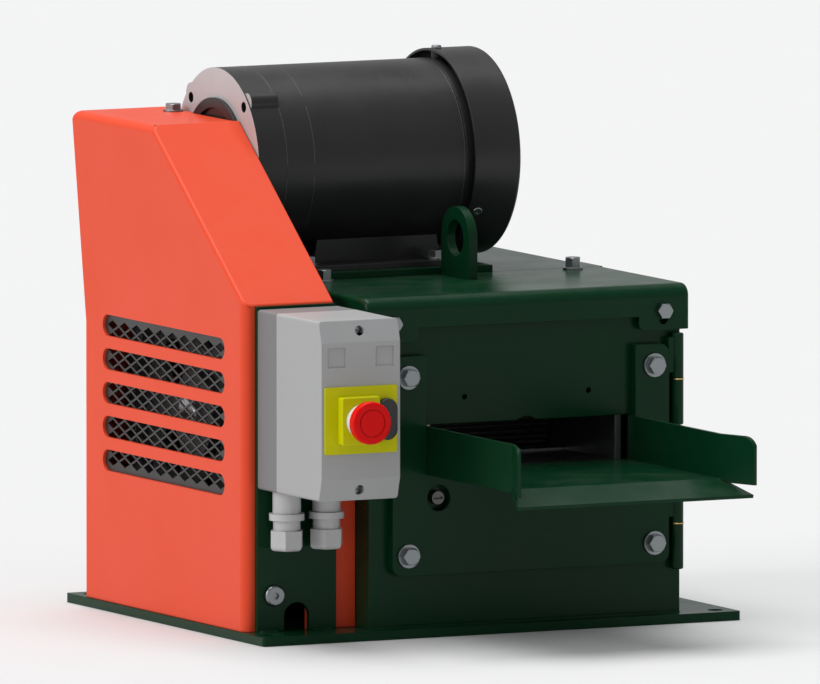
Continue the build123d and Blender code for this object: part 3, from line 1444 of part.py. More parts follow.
with BuildPart() as motor_shaft:
    rod(motor_shaft_r, motor_y, motor_z, (motor_shaft_left, motor_shaft_right))
    chamfer(motor_shaft.edges().filter_by(GeomType.CIRCLE), 1.0)
save(motor_shaft.part, "motor_shaft")

fan_x = (rear_end + 6.0, hood_right - 14.0)
with BuildPart() as motor_fan:
    rod(24.0, motor_y, motor_z, (fan_x[0], fan_x[1] - 4))
    rod(72.0, motor_y, motor_z, (fan_x[0], fan_x[0] + 2.5))
    for i in range(8):
        a = radians(45.0 * i)
        with BuildSketch(Plane(origin=(fan_x[0], motor_y, motor_z), x_dir=(0, cos(a), sin(a)), z_dir=RIGHT)):
            with Locations((46.0, 0)):
                Rectangle(52.0, 2.5)
        extrude(amount=fan_x[1] - fan_x[0])
    rod(motor_shaft_r, motor_y, motor_z, (fan_x[0] - 1, fan_x[1] + 1), Mode.SUBTRACT)
save(motor_fan.part, "motor_fan")

grille_pitch = 16.0
grille_rings = [hood_r - 26.0 - grille_pitch * i for i in range(4)]
grille_slot = 8.0
with BuildPart() as motor_hood:
    rod(hood_r, motor_y, motor_z, (hood_left, hood_right))
    fillet(motor_hood.edges().filter_by(GeomType.CIRCLE).sort_by(Axis.X)[-1], hood_round)
    rod(hood_r - hood_sheet, motor_y, motor_z, (hood_left - 1, hood_right - hood_sheet), Mode.SUBTRACT)
    with BuildSketch(Plane.YZ.offset(hood_right - hood_sheet - 1)):
        with Locations((motor_y, motor_z)):
            for ring in grille_rings:
                Circle(ring + grille_slot)
                Circle(ring, mode=Mode.SUBTRACT)
            with PolarLocations(0, 6):
                with Locations((grille_rings[0] / 2 + 4, 0)):
                    Rectangle(grille_rings[0] + grille_slot + 8, 6.0, mode=Mode.SUBTRACT)
    extrude(amount=hood_sheet + 2, mode=Mode.SUBTRACT)
    with Locations(*hood_seats):
        Cylinder(2.6, 6.0, mode=Mode.SUBTRACT)
save(motor_hood.part, "motor_hood")

hood_screw = round_screw(2.1, 6.0, 4.5, 2.4, 1.9)
save(group(hood_screw, [seat.offset(0.12) for seat in hood_seats]), "hood_screws")

web_spans = [(foot_left + low, foot_left + high) for low, high in ((39.0, 95.0), (102.0, 150.0))]
foot_top = motor_plate_top + foot_sheet
with BuildPart() as motor_foot:
    block(
        (foot_left, foot_right),
        (motor_y - foot_half_width, motor_y + foot_half_width),
        (motor_plate_top, foot_top),
    )
    fillet(motor_foot.edges().filter_by(Axis.Z), 8.0)
    for low, high in web_spans:
        for y in (motor_y - foot_web_y, motor_y + foot_web_y - foot_sheet):
            with BuildSketch(Plane.XZ.offset(-y - foot_sheet)):
                with BuildLine():
                    Polyline(
                        (low - foot_web_taper, motor_plate_top),
                        (high + foot_web_taper, motor_plate_top),
                        (high, motor_z - motor_r * 0.5),
                        (low, motor_z - motor_r * 0.5),
                        close=True,
                    )
                make_face()
            extrude(amount=foot_sheet)
    rod(motor_r, motor_y, motor_z, (foot_left - 5, foot_right + 5), Mode.SUBTRACT)
    foot_bolt_planes = facing(UP, *[(x, y, foot_top) for x in foot_x for y in foot_y])
    drill(foot_bolt_r + bolt_clearance, foot_sheet, foot_bolt_planes)
save(motor_foot.part, "motor_foot")

foot_bolt_length = foot_sheet + motor_plate_thickness + platform_thickness
foot_bolt = hex_bolt(foot_bolt_r - 0.1, foot_bolt_length, foot_bolt_flats, 6.2, 10.5, 2.0)
save(group(foot_bolt, foot_bolt_planes), "motor_foot_bolts")

terminal_middle = face_x + terminal_inset
terminal_x = (terminal_middle - terminal_width / 2, terminal_middle + terminal_width / 2)
terminal_z = (motor_z - terminal_height / 2, motor_z + terminal_height / 2)
terminal_back = motor_y + motor_r + terminal_drop
lid_thickness = 2.5
lid_lip = 1.5
with BuildPart() as terminal_box:
    block(terminal_x, (motor_y + motor_r * 0.7, terminal_back - lid_thickness), terminal_z)
    fillet(terminal_box.edges().filter_by(Axis.Y), 4.0)
    block(
        (terminal_x[0] + terminal_wall, terminal_x[1] - terminal_wall),
        (motor_y + motor_r + terminal_wall, terminal_back),
        (terminal_z[0] + terminal_wall, terminal_z[1] - terminal_wall),
        Mode.SUBTRACT,
    )
    rod(motor_r, motor_y, motor_z, (terminal_x[0] - 5, terminal_x[1] + 5), Mode.SUBTRACT)
save(terminal_box.part, "terminal_box")

with BuildPart() as terminal_lid:
    block(
        (terminal_x[0] - lid_lip, terminal_x[1] + lid_lip),
        (terminal_back - lid_thickness, terminal_back),
        (terminal_z[0] - lid_lip, terminal_z[1] + lid_lip),
    )
    fillet(terminal_lid.edges().filter_by(Axis.Y), 5.0)
save(terminal_lid.part, "terminal_lid")
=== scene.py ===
import math

import bmesh
import bpy
from bpy.props import FloatProperty, FloatVectorProperty, IntProperty, PointerProperty
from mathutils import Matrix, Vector


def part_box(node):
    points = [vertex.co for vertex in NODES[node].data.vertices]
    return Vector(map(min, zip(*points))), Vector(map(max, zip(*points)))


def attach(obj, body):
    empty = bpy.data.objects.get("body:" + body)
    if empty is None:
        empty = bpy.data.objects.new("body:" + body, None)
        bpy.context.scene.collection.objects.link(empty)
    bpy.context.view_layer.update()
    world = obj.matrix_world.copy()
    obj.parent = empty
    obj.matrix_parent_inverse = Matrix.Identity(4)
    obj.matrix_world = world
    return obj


bl_info = {
    "name": "Drum chopper looks",
    "version": (1, 0, 0),
    "blender": (4, 5, 0),
    "location": "View3D > Sidebar > Chopper",
    "description": "Finishes, welds, seams and small fittings of a bench drum chopper",
    "category": "Object",
}

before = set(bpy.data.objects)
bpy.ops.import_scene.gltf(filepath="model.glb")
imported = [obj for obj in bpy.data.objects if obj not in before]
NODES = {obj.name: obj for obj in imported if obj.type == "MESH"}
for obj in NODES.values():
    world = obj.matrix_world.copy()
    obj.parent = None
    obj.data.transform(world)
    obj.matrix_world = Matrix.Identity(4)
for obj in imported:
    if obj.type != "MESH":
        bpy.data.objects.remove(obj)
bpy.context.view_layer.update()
MM = 0.001


# ---------------------------------------------------------------- shader helpers
def add_node(tree, kind, place=(0, 0), **values):
    """Adds a node and sets its input values by socket name."""
    made = tree.nodes.new(kind)
    made.location = place
    for name, value in values.items():
        made.inputs[name.replace("_", " ")].default_value = value
    return made


def new_group(name, inputs, outputs):
    """An empty shader group with float or colour sockets."""
    group = bpy.data.node_groups.new(name, "ShaderNodeTree")
    for label, kind, value in inputs:
        socket = group.interface.new_socket(name=label, in_out="INPUT", socket_type=kind)
        socket.default_value = value
    for label, kind in outputs:
        group.interface.new_socket(name=label, in_out="OUTPUT", socket_type=kind)
    source = group.nodes.new("NodeGroupInput")
    source.location = (-900, 0)
    sink = group.nodes.new("NodeGroupOutput")
    sink.location = (700, 0)
    return group, source, sink


def shaping(tree, place, low, high):
    """A map range node from a chosen span to 0..1, clamped."""
    made = tree.nodes.new("ShaderNodeMapRange")
    made.location = place
    made.inputs["From Min"].default_value = low
    made.inputs["From Max"].default_value = high
    return made


def multiply(tree, place, first, second):
    """A math node that multiplies two sockets."""
    made = tree.nodes.new("ShaderNodeMath")
    made.operation = "MULTIPLY"
    made.location = place
    tree.links.new(first, made.inputs[0])
    tree.links.new(second, made.inputs[1])
    return made


def grain_group():
    """Surface grain: fine for the relief, broad for the tone and the polish."""
    group, source, sink = new_group(
        "Surface grain",
        [("Scale", "NodeSocketFloat", 300.0), ("Stretch", "NodeSocketVector", (1.0, 1.0, 1.0))],
        [("Fine", "NodeSocketFloat"), ("Broad", "NodeSocketFloat")],
    )
    links = group.links
    where = add_node(group, "ShaderNodeTexCoord", (-900, -250))
    stretch = group.nodes.new("ShaderNodeVectorMath")
    stretch.operation = "MULTIPLY"
    stretch.location = (-650, -100)
    links.new(where.outputs["Object"], stretch.inputs[0])
    links.new(source.outputs["Stretch"], stretch.inputs[1])
    fine = add_node(group, "ShaderNodeTexNoise", (-400, 100), Detail=3.0, Roughness=0.6)
    links.new(stretch.outputs[0], fine.inputs["Vector"])
    links.new(source.outputs["Scale"], fine.inputs["Scale"])
    broad = add_node(group, "ShaderNodeTexNoise", (-400, -150), Scale=11.0, Detail=5.0, Roughness=0.62)
    links.new(where.outputs["Object"], broad.inputs["Vector"])
    links.new(fine.outputs["Fac"], sink.inputs["Fine"])
    links.new(broad.outputs["Fac"], sink.inputs["Broad"])
    return group


def edge_group():
    """Worn edges: a mask that follows sharp edges, broken up by noise."""
    group, source, sink = new_group(
        "Edge wear",
        [("Radius", "NodeSocketFloat", 0.0012), ("Spread", "NodeSocketFloat", 0.5)],
        [("Mask", "NodeSocketFloat"), ("Normal", "NodeSocketVector")],
    )
    links = group.links
    soft = add_node(group, "ShaderNodeBevel", (-600, 100))
    soft.samples = 4
    links.new(source.outputs["Radius"], soft.inputs["Radius"])
    shape = add_node(group, "ShaderNodeNewGeometry", (-600, -100))
    dot = group.nodes.new("ShaderNodeVectorMath")
    dot.operation = "DOT_PRODUCT"
    dot.location = (-350, 0)
    links.new(soft.outputs["Normal"], dot.inputs[0])
    links.new(shape.outputs["Normal"], dot.inputs[1])
    edge = shaping(group, (-100, 0), 0.985, 0.8)
    links.new(dot.outputs["Value"], edge.inputs["Value"])
    where = add_node(group, "ShaderNodeTexCoord", (-600, -350))
    breakup = add_node(group, "ShaderNodeTexNoise", (-350, -300), Scale=60.0, Detail=6.0, Roughness=0.7)
    links.new(where.outputs["Object"], breakup.inputs["Vector"])
    patches = shaping(group, (-100, -300), 0.45, 0.62)
    links.new(breakup.outputs["Fac"], patches.inputs["Value"])
    product = multiply(group, (150, -100), edge.outputs["Result"], patches.outputs["Result"])
    amount = multiply(group, (400, -100), product.outputs["Value"], source.outputs["Spread"])
    links.new(amount.outputs["Value"], sink.inputs["Mask"])
    links.new(soft.outputs["Normal"], sink.inputs["Normal"])
    return group


def dust_group():
    """Dust lying on faces that look up, in uneven patches."""
    group, source, sink = new_group(
        "Settled dust", [("Amount", "NodeSocketFloat", 0.2)], [("Mask", "NodeSocketFloat")]
    )
    links = group.links
    shape = add_node(group, "ShaderNodeNewGeometry", (-700, 100))
    split = add_node(group, "ShaderNodeSeparateXYZ", (-500, 100))
    links.new(shape.outputs["Normal"], split.inputs["Vector"])
    up = shaping(group, (-300, 100), 0.5, 1.0)
    links.new(split.outputs["Z"], up.inputs["Value"])
    where = add_node(group, "ShaderNodeTexCoord", (-700, -200))
    cloud = add_node(group, "ShaderNodeTexNoise", (-500, -200), Scale=18.0, Detail=7.0, Roughness=0.65)
    links.new(where.outputs["Object"], cloud.inputs["Vector"])
    patches = shaping(group, (-300, -200), 0.42, 0.72)
    links.new(cloud.outputs["Fac"], patches.inputs["Value"])
    product = multiply(group, (0, 0), up.outputs["Result"], patches.outputs["Result"])
    amount = multiply(group, (250, 0), product.outputs["Value"], source.outputs["Amount"])
    links.new(amount.outputs["Value"], sink.inputs["Mask"])
    return group


def shared(name, build):
    """The shader group of that name, built on first use."""
    return bpy.data.node_groups.get(name) or build()


def colour_mix(tree, place, first, second):
    """A colour mix node whose two colours are a socket or a fixed colour."""
    made = tree.nodes.new("ShaderNodeMix")
    made.data_type = "RGBA"
    made.location = place
    for socket, value in ((made.inputs[6], first), (made.inputs[7], second)):
        if isinstance(value, bpy.types.NodeSocket):
            tree.links.new(value, socket)
        else:
            socket.default_value = (*value, 1.0)
    return made


def surface(name, colour, second, rough, spread, metallic=0.0, coat=0.0, scale=300.0, stretch=(1, 1, 1),
            bump=0.05, depth=0.0002, wear=None, worn=(0.4, 0.4, 0.4), wear_width=0.0012, dust=0.0,
            shine=0.5):
    """A procedural finish: two tones of colour, uneven roughness, grain bump, edge wear and dust."""
    made = bpy.data.materials.new(name)
    made.use_nodes = True
    tree = made.node_tree
    links = tree.links
    shader = tree.nodes["Principled BSDF"]
    grain = tree.nodes.new("ShaderNodeGroup")
    grain.node_tree = shared("Surface grain", grain_group)
    grain.location = (-1100, 0)
    grain.inputs["Scale"].default_value = scale
    grain.inputs["Stretch"].default_value = stretch
    tone = colour_mix(tree, (-600, 300), colour, second)
    links.new(grain.outputs["Broad"], tone.inputs["Factor"])
    out = tone.outputs[2]
    edge = tree.nodes.new("ShaderNodeGroup")
    edge.node_tree = shared("Edge wear", edge_group)
    edge.location = (-1100, -300)
    edge.inputs["Radius"].default_value = wear_width
    edge.inputs["Spread"].default_value = 0.0 if wear is None else wear
    if wear is not None:
        rubbed = colour_mix(tree, (-350, 300), out, worn)
        links.new(edge.outputs["Mask"], rubbed.inputs["Factor"])
        out = rubbed.outputs[2]
    if dust:
        settled = tree.nodes.new("ShaderNodeGroup")
        settled.node_tree = shared("Settled dust", dust_group)
        settled.location = (-600, 600)
        settled.inputs["Amount"].default_value = dust
        dusty = colour_mix(tree, (-150, 400), out, (0.35, 0.34, 0.31))
        links.new(settled.outputs["Mask"], dusty.inputs["Factor"])
        out = dusty.outputs[2]
    links.new(out, shader.inputs["Base Color"])
    polish = tree.nodes.new("ShaderNodeMapRange")
    polish.location = (-600, -50)
    polish.inputs["From Min"].default_value = 0.3
    polish.inputs["From Max"].default_value = 0.7
    polish.inputs["To Min"].default_value = max(0.02, rough - spread)
    polish.inputs["To Max"].default_value = rough + spread
    links.new(grain.outputs["Broad"], polish.inputs["Value"])
    links.new(polish.outputs["Result"], shader.inputs["Roughness"])
    relief = add_node(tree, "ShaderNodeBump", (-350, -300), Strength=bump, Distance=depth)
    links.new(grain.outputs["Fine"], relief.inputs["Height"])
    links.new(edge.outputs["Normal"], relief.inputs["Normal"])
    links.new(relief.outputs["Normal"], shader.inputs["Normal"])
    shader.inputs["Metallic"].default_value = metallic
    shader.inputs["Specular IOR Level"].default_value = shine
    shader.inputs["Coat Weight"].default_value = coat
    shader.inputs["Coat Roughness"].default_value = 0.06
    return made


def material(name, **look):
    """A finish by name, made once."""
    return bpy.data.materials.get(name) or surface(name, **look)


def dress(node, made):
    """Gives a CAD node one finish on all its faces."""
    mesh = NODES[node].data
    mesh.materials.clear()
    mesh.materials.append(made)
    for face in mesh.polygons:
        face.material_index = 0


def dress_some(node, made, chosen):
    """Gives a second finish to the faces of a CAD node for which chosen(centre, normal) is true."""
    mesh = NODES[node].data
    mesh.materials.append(made)
    last = len(mesh.materials) - 1
    for face in mesh.polygons:
        if chosen(face.center, face.normal):
            face.material_index = last


# ---------------------------------------------------------------- mesh helpers
def link_mesh(name, build, body, made, smooth=True):
    """Makes an object from a bmesh and lets it ride on a CAD body."""
    mesh = bpy.data.meshes.new(name)
    build.normal_update()
    build.to_mesh(mesh)
    build.free()
    mesh.materials.append(made)
    for face in mesh.polygons:
        face.use_smooth = smooth
    made_object = bpy.data.objects.new(name, mesh)
    bpy.context.scene.collection.objects.link(made_object)
    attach(made_object, body)
    return made_object


def weld_bead(build, start, end, out, radius, step=0.0035):
    """A rippled weld bead along an inside corner; out is the corner's open direction."""
    along = end - start
    length = along.length
    along.normalize()
    side = along.cross(out).normalized()
    count = max(3, int(length / step) * 3)
    around = 8
    rings = []
    for i in range(count + 1):
        share = i / count
        ripple = 1.0 + 0.13 * math.cos(2 * math.pi * share * length / step)
        ripple *= 1.0 + 0.05 * math.sin(share * length * 431.0)
        fade = min(1.0, 6.0 * min(share, 1 - share) + 0.35)
        centre = start + along * (share * length)
        ring = []
        for j in range(around):
            a = 2 * math.pi * j / around
            reach = radius * ripple * fade
            ring.append(build.verts.new(centre + (out * math.cos(a) + side * math.sin(a)) * reach))
        rings.append(ring)
    for near, far in zip(rings, rings[1:]):
        for j in range(around):
            build.faces.new((near[j], near[(j + 1) % around], far[(j + 1) % around], far[j]))
    build.faces.new(list(reversed(rings[0])))
    build.faces.new(rings[-1])


def lathe(build, profile, origin, axis, across, steps=32):
    """Turns (radius, height) points about an axis."""
    third = axis.cross(across)
    rings = []
    for radius, height in profile:
        ring = []
        for j in range(steps):
            a = 2 * math.pi * j / steps
            spoke = across * math.cos(a) + third * math.sin(a)
            ring.append(build.verts.new(origin + axis * height + spoke * radius))
        rings.append(ring)
    for near, far in zip(rings, rings[1:]):
        for j in range(steps):
            build.faces.new((near[j], near[(j + 1) % steps], far[(j + 1) % steps], far[j]))
    build.faces.new(list(reversed(rings[0])))
    build.faces.new(rings[-1])


def spiral_ridge(build, origin, axis, across, radius, height, pitch, lift, steps=18):
    """A raised thread ridge wound round a shank."""
    third = axis.cross(across)
    turns = int(height / pitch * steps)
    previous = None
    for i in range(turns + 1):
        a = 2 * math.pi * i / steps
        out = across * math.cos(a) + third * math.sin(a)
        middle = origin + axis * (pitch * i / steps)
        ring = [
            build.verts.new(middle + out * (radius - 0.1 * MM) - axis * pitch * 0.42),
            build.verts.new(middle + out * (radius + lift)),
            build.verts.new(middle + out * (radius - 0.1 * MM) + axis * pitch * 0.42),
        ]
        if previous:
            build.faces.new((previous[0], previous[1], ring[1], ring[0]))
            build.faces.new((previous[1], previous[2], ring[2], ring[1]))
        previous = ring


X, Y, Z = Vector((1, 0, 0)), Vector((0, 1, 0)), Vector((0, 0, 1))


# ---------------------------------------------------------------- settings
class ChopperPaint(bpy.types.PropertyGroup):
    """Settings of the two paints."""

    green: FloatVectorProperty(
        name="Green", description="Colour of the frame's paint", subtype="COLOR", size=3,
        default=(0.0016, 0.024, 0.0085), min=0.0, max=1.0)
    orange: FloatVectorProperty(
        name="Orange", description="Colour of the belt guard's paint", subtype="COLOR", size=3,
        default=(0.72, 0.062, 0.021), min=0.0, max=1.0)
    wear: FloatProperty(
        name="Edge wear", description="How far the paint is rubbed off at the edges", default=0.35, min=0.0,
        max=1.0)
    dust: FloatProperty(
        name="Dust", description="How much dust lies on the upper faces", default=0.05, min=0.0, max=1.0)


class ChopperMetal(bpy.types.PropertyGroup):
    """Settings of the bare metals."""

    roughness: FloatProperty(
        name="Roughness", description="Roughness of the plated fasteners", default=0.32, min=0.05, max=1.0)
    brushing: FloatProperty(
        name="Brushing", description="Strength of the machining lines", default=0.25, min=0.0, max=1.0)


class ChopperBox(bpy.types.PropertyGroup):
    """Settings of the push-button box."""

    cover: FloatVectorProperty(
        name="Cover", description="Colour of the cover", subtype="COLOR", size=3,
        default=(0.31, 0.312, 0.314), min=0.0, max=1.0)
    base: FloatVectorProperty(
        name="Base", description="Colour of the base", subtype="COLOR", size=3, default=(0.15, 0.152, 0.155),
        min=0.0, max=1.0)


class ChopperWelds(bpy.types.PropertyGroup):
    """Settings of the welds."""

    radius: FloatProperty(
        name="Bead radius", description="Radius of the weld beads", default=0.0022, min=0.0005, max=0.006,
        unit="LENGTH")
    ripple: FloatProperty(
        name="Ripple", description="Distance between two ripples", default=0.0035, min=0.001, max=0.01,
        unit="LENGTH")


class ChopperSeams(bpy.types.PropertyGroup):
    """Settings of the guard's seams, drawn as strips of painted shade."""

    bend: FloatProperty(
        name="Bend", description="Left face to the seam of the slanted panel", default=0.0045, min=0.0,
        max=0.03, unit="LENGTH")
    # The guard's seam strips are painted shade: a darkened orange.
    width: FloatProperty(
        name="Width", description="Width of the guard's open seams", default=0.0018, min=0.0002, max=0.006,
        unit="LENGTH")


class ChopperFittings(bpy.types.PropertyGroup):
    """Settings of the small fittings."""

    nipple_sides: IntProperty(
        name="Nipple sides", description="Facets round each grease nipple", default=14, min=6, max=48)
    thread_pitch: FloatProperty(
        name="Thread pitch", description="Pitch of the shown threads", default=0.0015, min=0.0005, max=0.004,
        unit="LENGTH")


class ChopperStage(bpy.types.PropertyGroup):
    """Settings of the floor, the light and the camera."""

    azimuth: FloatProperty(
        name="Azimuth", description="Turn of the camera round the machine", default=math.radians(-26.565),
        subtype="ANGLE")
    elevation: FloatProperty(
        name="Elevation", description="Height of the camera above the horizon", default=math.radians(5.9),
        subtype="ANGLE")
    distance: FloatProperty(
        name="Distance", description="Distance of the camera", default=25.2, min=1.0, unit="LENGTH")
    lens: FloatProperty(name="Lens", description="Focal length in millimetres", default=1250.0, min=10.0)
    target: FloatVectorProperty(
        name="Target", description="Point in the middle of the picture", subtype="TRANSLATION", size=3,
        default=(0.0168, 0.0189, 0.2366), unit="LENGTH")
    top_light: FloatProperty(
        name="Top light", description="Power of the overhead light", default=2.9, min=0.0)
    side_light: FloatProperty(name="Side light", description="Power of the left light", default=1.3, min=0.0)
    sky: FloatProperty(name="Sky", description="Brightness of the surroundings", default=0.45, min=0.0)


# ---------------------------------------------------------------- finishes
GREEN_NODES = (
    "base_plate", "housing", "discharge_duct", "top_cover", "lifting_bar", "door_plate", "door_knuckles",
    "wall_knuckles", "feed_tray", "motor_plate", "control_bracket",
)
MOTOR_NODES = (
    "motor_frame", "motor_front_bell", "motor_rear_bell", "motor_foot", "motor_hood", "terminal_box",
    "terminal_lid",
)
FASTENER_NODES = (
    "bearing_bolts", "box_screws", "carrier_fasteners", "cover_bolts", "door_bolts", "guard_bolts",
    "guard_strut", "hinge_pins", "hood_screws", "motor_foot_bolts", "wedge_screws", "sheave_key",
)


def green_paint(paint):
    """The frame's glossy dark green paint."""
    base = tuple(paint.green)
    return material(
        "Green paint", colour=base, second=tuple(c * 1.3 for c in base), rough=0.24, spread=0.05, shine=0.12,
        scale=420.0, bump=0.05, depth=0.0002, wear=paint.wear, worn=(0.05, 0.09, 0.06), dust=paint.dust)


def motor_paint():
    """The motor's dark enamel."""
    return material(
        "Motor enamel", colour=(0.013, 0.013, 0.0135), second=(0.022, 0.022, 0.022), rough=0.34, spread=0.08,
        shine=0.3, scale=520.0, bump=0.1, depth=0.0003, wear=0.3, worn=(0.08, 0.08, 0.08), dust=0.04)


def machined_face():
    """Bare turned metal."""
    return material(
        "Turned face", colour=(0.56, 0.56, 0.56), second=(0.46, 0.46, 0.47), rough=0.5, spread=0.08,
        metallic=0.4, scale=700.0, bump=0.12, depth=0.0001)


def zinc(metal):
    """Zinc plate on the fasteners."""
    return material(
        "Zinc plate", colour=(0.2, 0.22, 0.225), second=(0.29, 0.31, 0.32), rough=metal.roughness, spread=0.1,
        metallic=1.0, scale=900.0, bump=0.12, depth=0.0001, wear=0.4, worn=(0.6, 0.6, 0.6), wear_width=0.0005)


class CHOPPER_OT_paint(bpy.types.Operator):
    """Paints the frame green and the belt guard orange."""

    bl_idname = "chopper.paint"
    bl_label = "Paint the frame"

    def execute(self, context):
        paint = context.scene.chopper_paint
        green = green_paint(paint)
        for node in GREEN_NODES:
            dress(node, green)
        base = tuple(paint.orange)
        orange = material(
            "Orange paint", colour=base, second=(base[0] * 0.95, base[1] * 1.12, base[2] * 1.15), rough=0.36,
            spread=0.06, shine=0.15, scale=420.0, bump=0.08, depth=0.0003, wear=paint.wear,
            worn=(0.5, 0.16, 0.1), dust=paint.dust)
        dress("belt_guard", orange)
        return {"FINISHED"}


class CHOPPER_OT_motor(bpy.types.Operator):
    """Finishes the motor: dark enamel, a turned front face, a plastic fan."""

    bl_idname = "chopper.motor"
    bl_label = "Finish the motor"

    def execute(self, context):
        enamel = motor_paint()
        for node in MOTOR_NODES:
            dress(node, enamel)
        low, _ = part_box("motor_front_bell")
        shaft_low, shaft_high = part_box("motor_shaft")
        middle = (shaft_low + shaft_high) / 2
        pilot_radius, step_back = 58 * MM, 6 * MM

        def turned(centre, normal):
            """True on the bell's front face outside the pilot."""
            reach = math.hypot(centre.y - middle.y, centre.z - middle.z)
            return normal.x < -0.9 and centre.x < low.x + step_back and reach > pilot_radius

        dress_some("motor_front_bell", machined_face(), turned)
        black = black_plastic()
        dress("motor_fan", black)
        core = material(
            "Core laminations", colour=(0.2, 0.2, 0.21), second=(0.3, 0.29, 0.28), rough=0.5, spread=0.1,
            metallic=0.9, scale=900.0, stretch=(14.0, 1.0, 1.0), bump=0.4, depth=0.0002)
        dress("motor_stator", core)
        dress("motor_rotor", core)
        return {"FINISHED"}


def black_plastic():
    """Moulded black plastic."""
    return material(
        "Black plastic", colour=(0.012, 0.012, 0.013), second=(0.02, 0.02, 0.021), rough=0.42, spread=0.08,
        scale=800.0, bump=0.18, depth=0.0002, wear=0.2, worn=(0.06, 0.06, 0.06), wear_width=0.0006)


class CHOPPER_OT_metal(bpy.types.Operator):
    """Finishes the shafts, knives, bearings, sheaves and fasteners."""

    bl_idname = "chopper.metal"
    bl_label = "Finish the metals"

    def execute(self, context):
        metal = context.scene.chopper_metal
        plated = zinc(metal)
        for node in FASTENER_NODES:
            dress(node, plated)
        drum_steel = material(
            "Oiled steel", colour=(0.075, 0.075, 0.078), second=(0.14, 0.135, 0.13), rough=0.33, spread=0.12,
            metallic=0.9, scale=500.0, stretch=(1.0, 8.0, 8.0), bump=metal.brushing, depth=0.0002, wear=0.5,
            worn=(0.5, 0.5, 0.5), wear_width=0.0006)
        for node in ("drum", "knife_wedges", "knife_carrier", "adjuster_screws"):
            dress(node, drum_steel)
        screen = material(
            "Screen steel", colour=(0.05, 0.05, 0.05), second=(0.09, 0.085, 0.08), rough=0.45, spread=0.1,
            metallic=0.8, scale=700.0, bump=0.2, depth=0.0002, wear=0.4, worn=(0.2, 0.2, 0.2),
            wear_width=0.0004)
        dress("guard_mesh", screen)
        ground = material(
            "Ground steel", colour=(0.5, 0.5, 0.51), second=(0.6, 0.6, 0.6), rough=0.24, spread=0.08,
            metallic=1.0, scale=600.0, stretch=(0.5, 9.0, 9.0), bump=metal.brushing, depth=0.0001)
        for node in (
            "drum_shaft", "motor_shaft", "bearing_rings", "motor_bearings", "bed_knife", "drum_knives",
        ):
            dress(node, ground)
        bare = material(
            "Blued sheet", colour=(0.16, 0.165, 0.17), second=(0.24, 0.24, 0.24), rough=0.36, spread=0.1,
            metallic=0.85, scale=400.0, stretch=(1.0, 1.0, 6.0), bump=0.2, depth=0.0002, wear=0.5,
            worn=(0.5, 0.5, 0.5))
        dress("throat_frame", bare)
        iron = material(
            "Cast iron", colour=(0.06, 0.062, 0.064), second=(0.11, 0.11, 0.11), rough=0.52, spread=0.12,
            metallic=0.6, scale=380.0, bump=0.5, depth=0.0004, wear=0.6, worn=(0.35, 0.35, 0.35))
        for node in ("bearing_housings", "driven_sheave", "sheave_bush", "motor_pulley"):
            dress(node, iron)
        brass = material(
            "Brass", colour=(0.6, 0.42, 0.14), second=(0.7, 0.52, 0.22), rough=0.3, spread=0.1, metallic=1.0,
            scale=900.0, bump=0.1, depth=0.0001)
        dress("hinge_washers", brass)
        rubber = material(
            "Belt rubber", colour=(0.018, 0.018, 0.018), second=(0.035, 0.034, 0.033), rough=0.72, spread=0.1,
            scale=600.0, bump=0.5, depth=0.0003, wear=0.5, worn=(0.09, 0.09, 0.09))
        dress("drive_belts", rubber)
        return {"FINISHED"}


class CHOPPER_OT_box(bpy.types.Operator):
    """Finishes the push-button box, its glands and its stop button."""

    bl_idname = "chopper.box"
    bl_label = "Finish the button box"

    def execute(self, context):
        box = context.scene.chopper_box
        cover = tuple(box.cover)
        dress("box_cover", material(
            "Grey cover", colour=cover, second=tuple(c * 1.12 for c in cover), rough=0.45, spread=0.06,
            scale=1400.0, bump=0.25, depth=0.0002, wear=0.3, worn=(0.55, 0.55, 0.55), dust=0.08))
        base = tuple(box.base)
        dress("box_base", material(
            "Grey base", colour=base, second=tuple(c * 1.15 for c in base), rough=0.5, spread=0.06,
            scale=1400.0, bump=0.25, depth=0.0002, wear=0.3, worn=(0.35, 0.35, 0.35), dust=0.08))
        yellow = material(
            "Yellow plastic", colour=(0.5, 0.49, 0.001), second=(0.56, 0.55, 0.002), rough=0.34, spread=0.06,
            shine=0.12, scale=900.0, bump=0.12, depth=0.0001, wear=0.2, worn=(0.8, 0.78, 0.3),
            wear_width=0.0006)
        dress("button_plate", yellow)
        dress("button_block", yellow)
        low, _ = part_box("button_block")
        collar_reach = 8.9 * MM
        dress_some("button_block", material(
            "Collar plastic", colour=(0.62, 0.62, 0.62), second=(0.7, 0.7, 0.7), rough=0.36, spread=0.06,
            shine=0.3, scale=900.0, bump=0.12, depth=0.0001, wear=0.2, worn=(0.8, 0.8, 0.8),
            wear_width=0.0005),
            lambda centre, normal: centre.y < low.y + collar_reach)
        dress("stop_button", material(
            "Red plastic", colour=(0.6, 0.0005, 0.0005), second=(0.66, 0.001, 0.001), rough=0.26, spread=0.06,
            shine=0.12, scale=900.0, bump=0.08, depth=0.0001, wear=0.2, worn=(0.7, 0.2, 0.16),
            wear_width=0.0006))
        black = black_plastic()
        for node in ("padlock_piece", "contactor"):
            dress(node, black)
        dress("cable_glands", material(
            "Gland plastic", colour=(0.4, 0.4, 0.4), second=(0.47, 0.47, 0.47), rough=0.34, spread=0.08,
            scale=900.0, bump=0.15, depth=0.0002, wear=0.3, worn=(0.16, 0.16, 0.16), wear_width=0.0006))
        return {"FINISHED"}


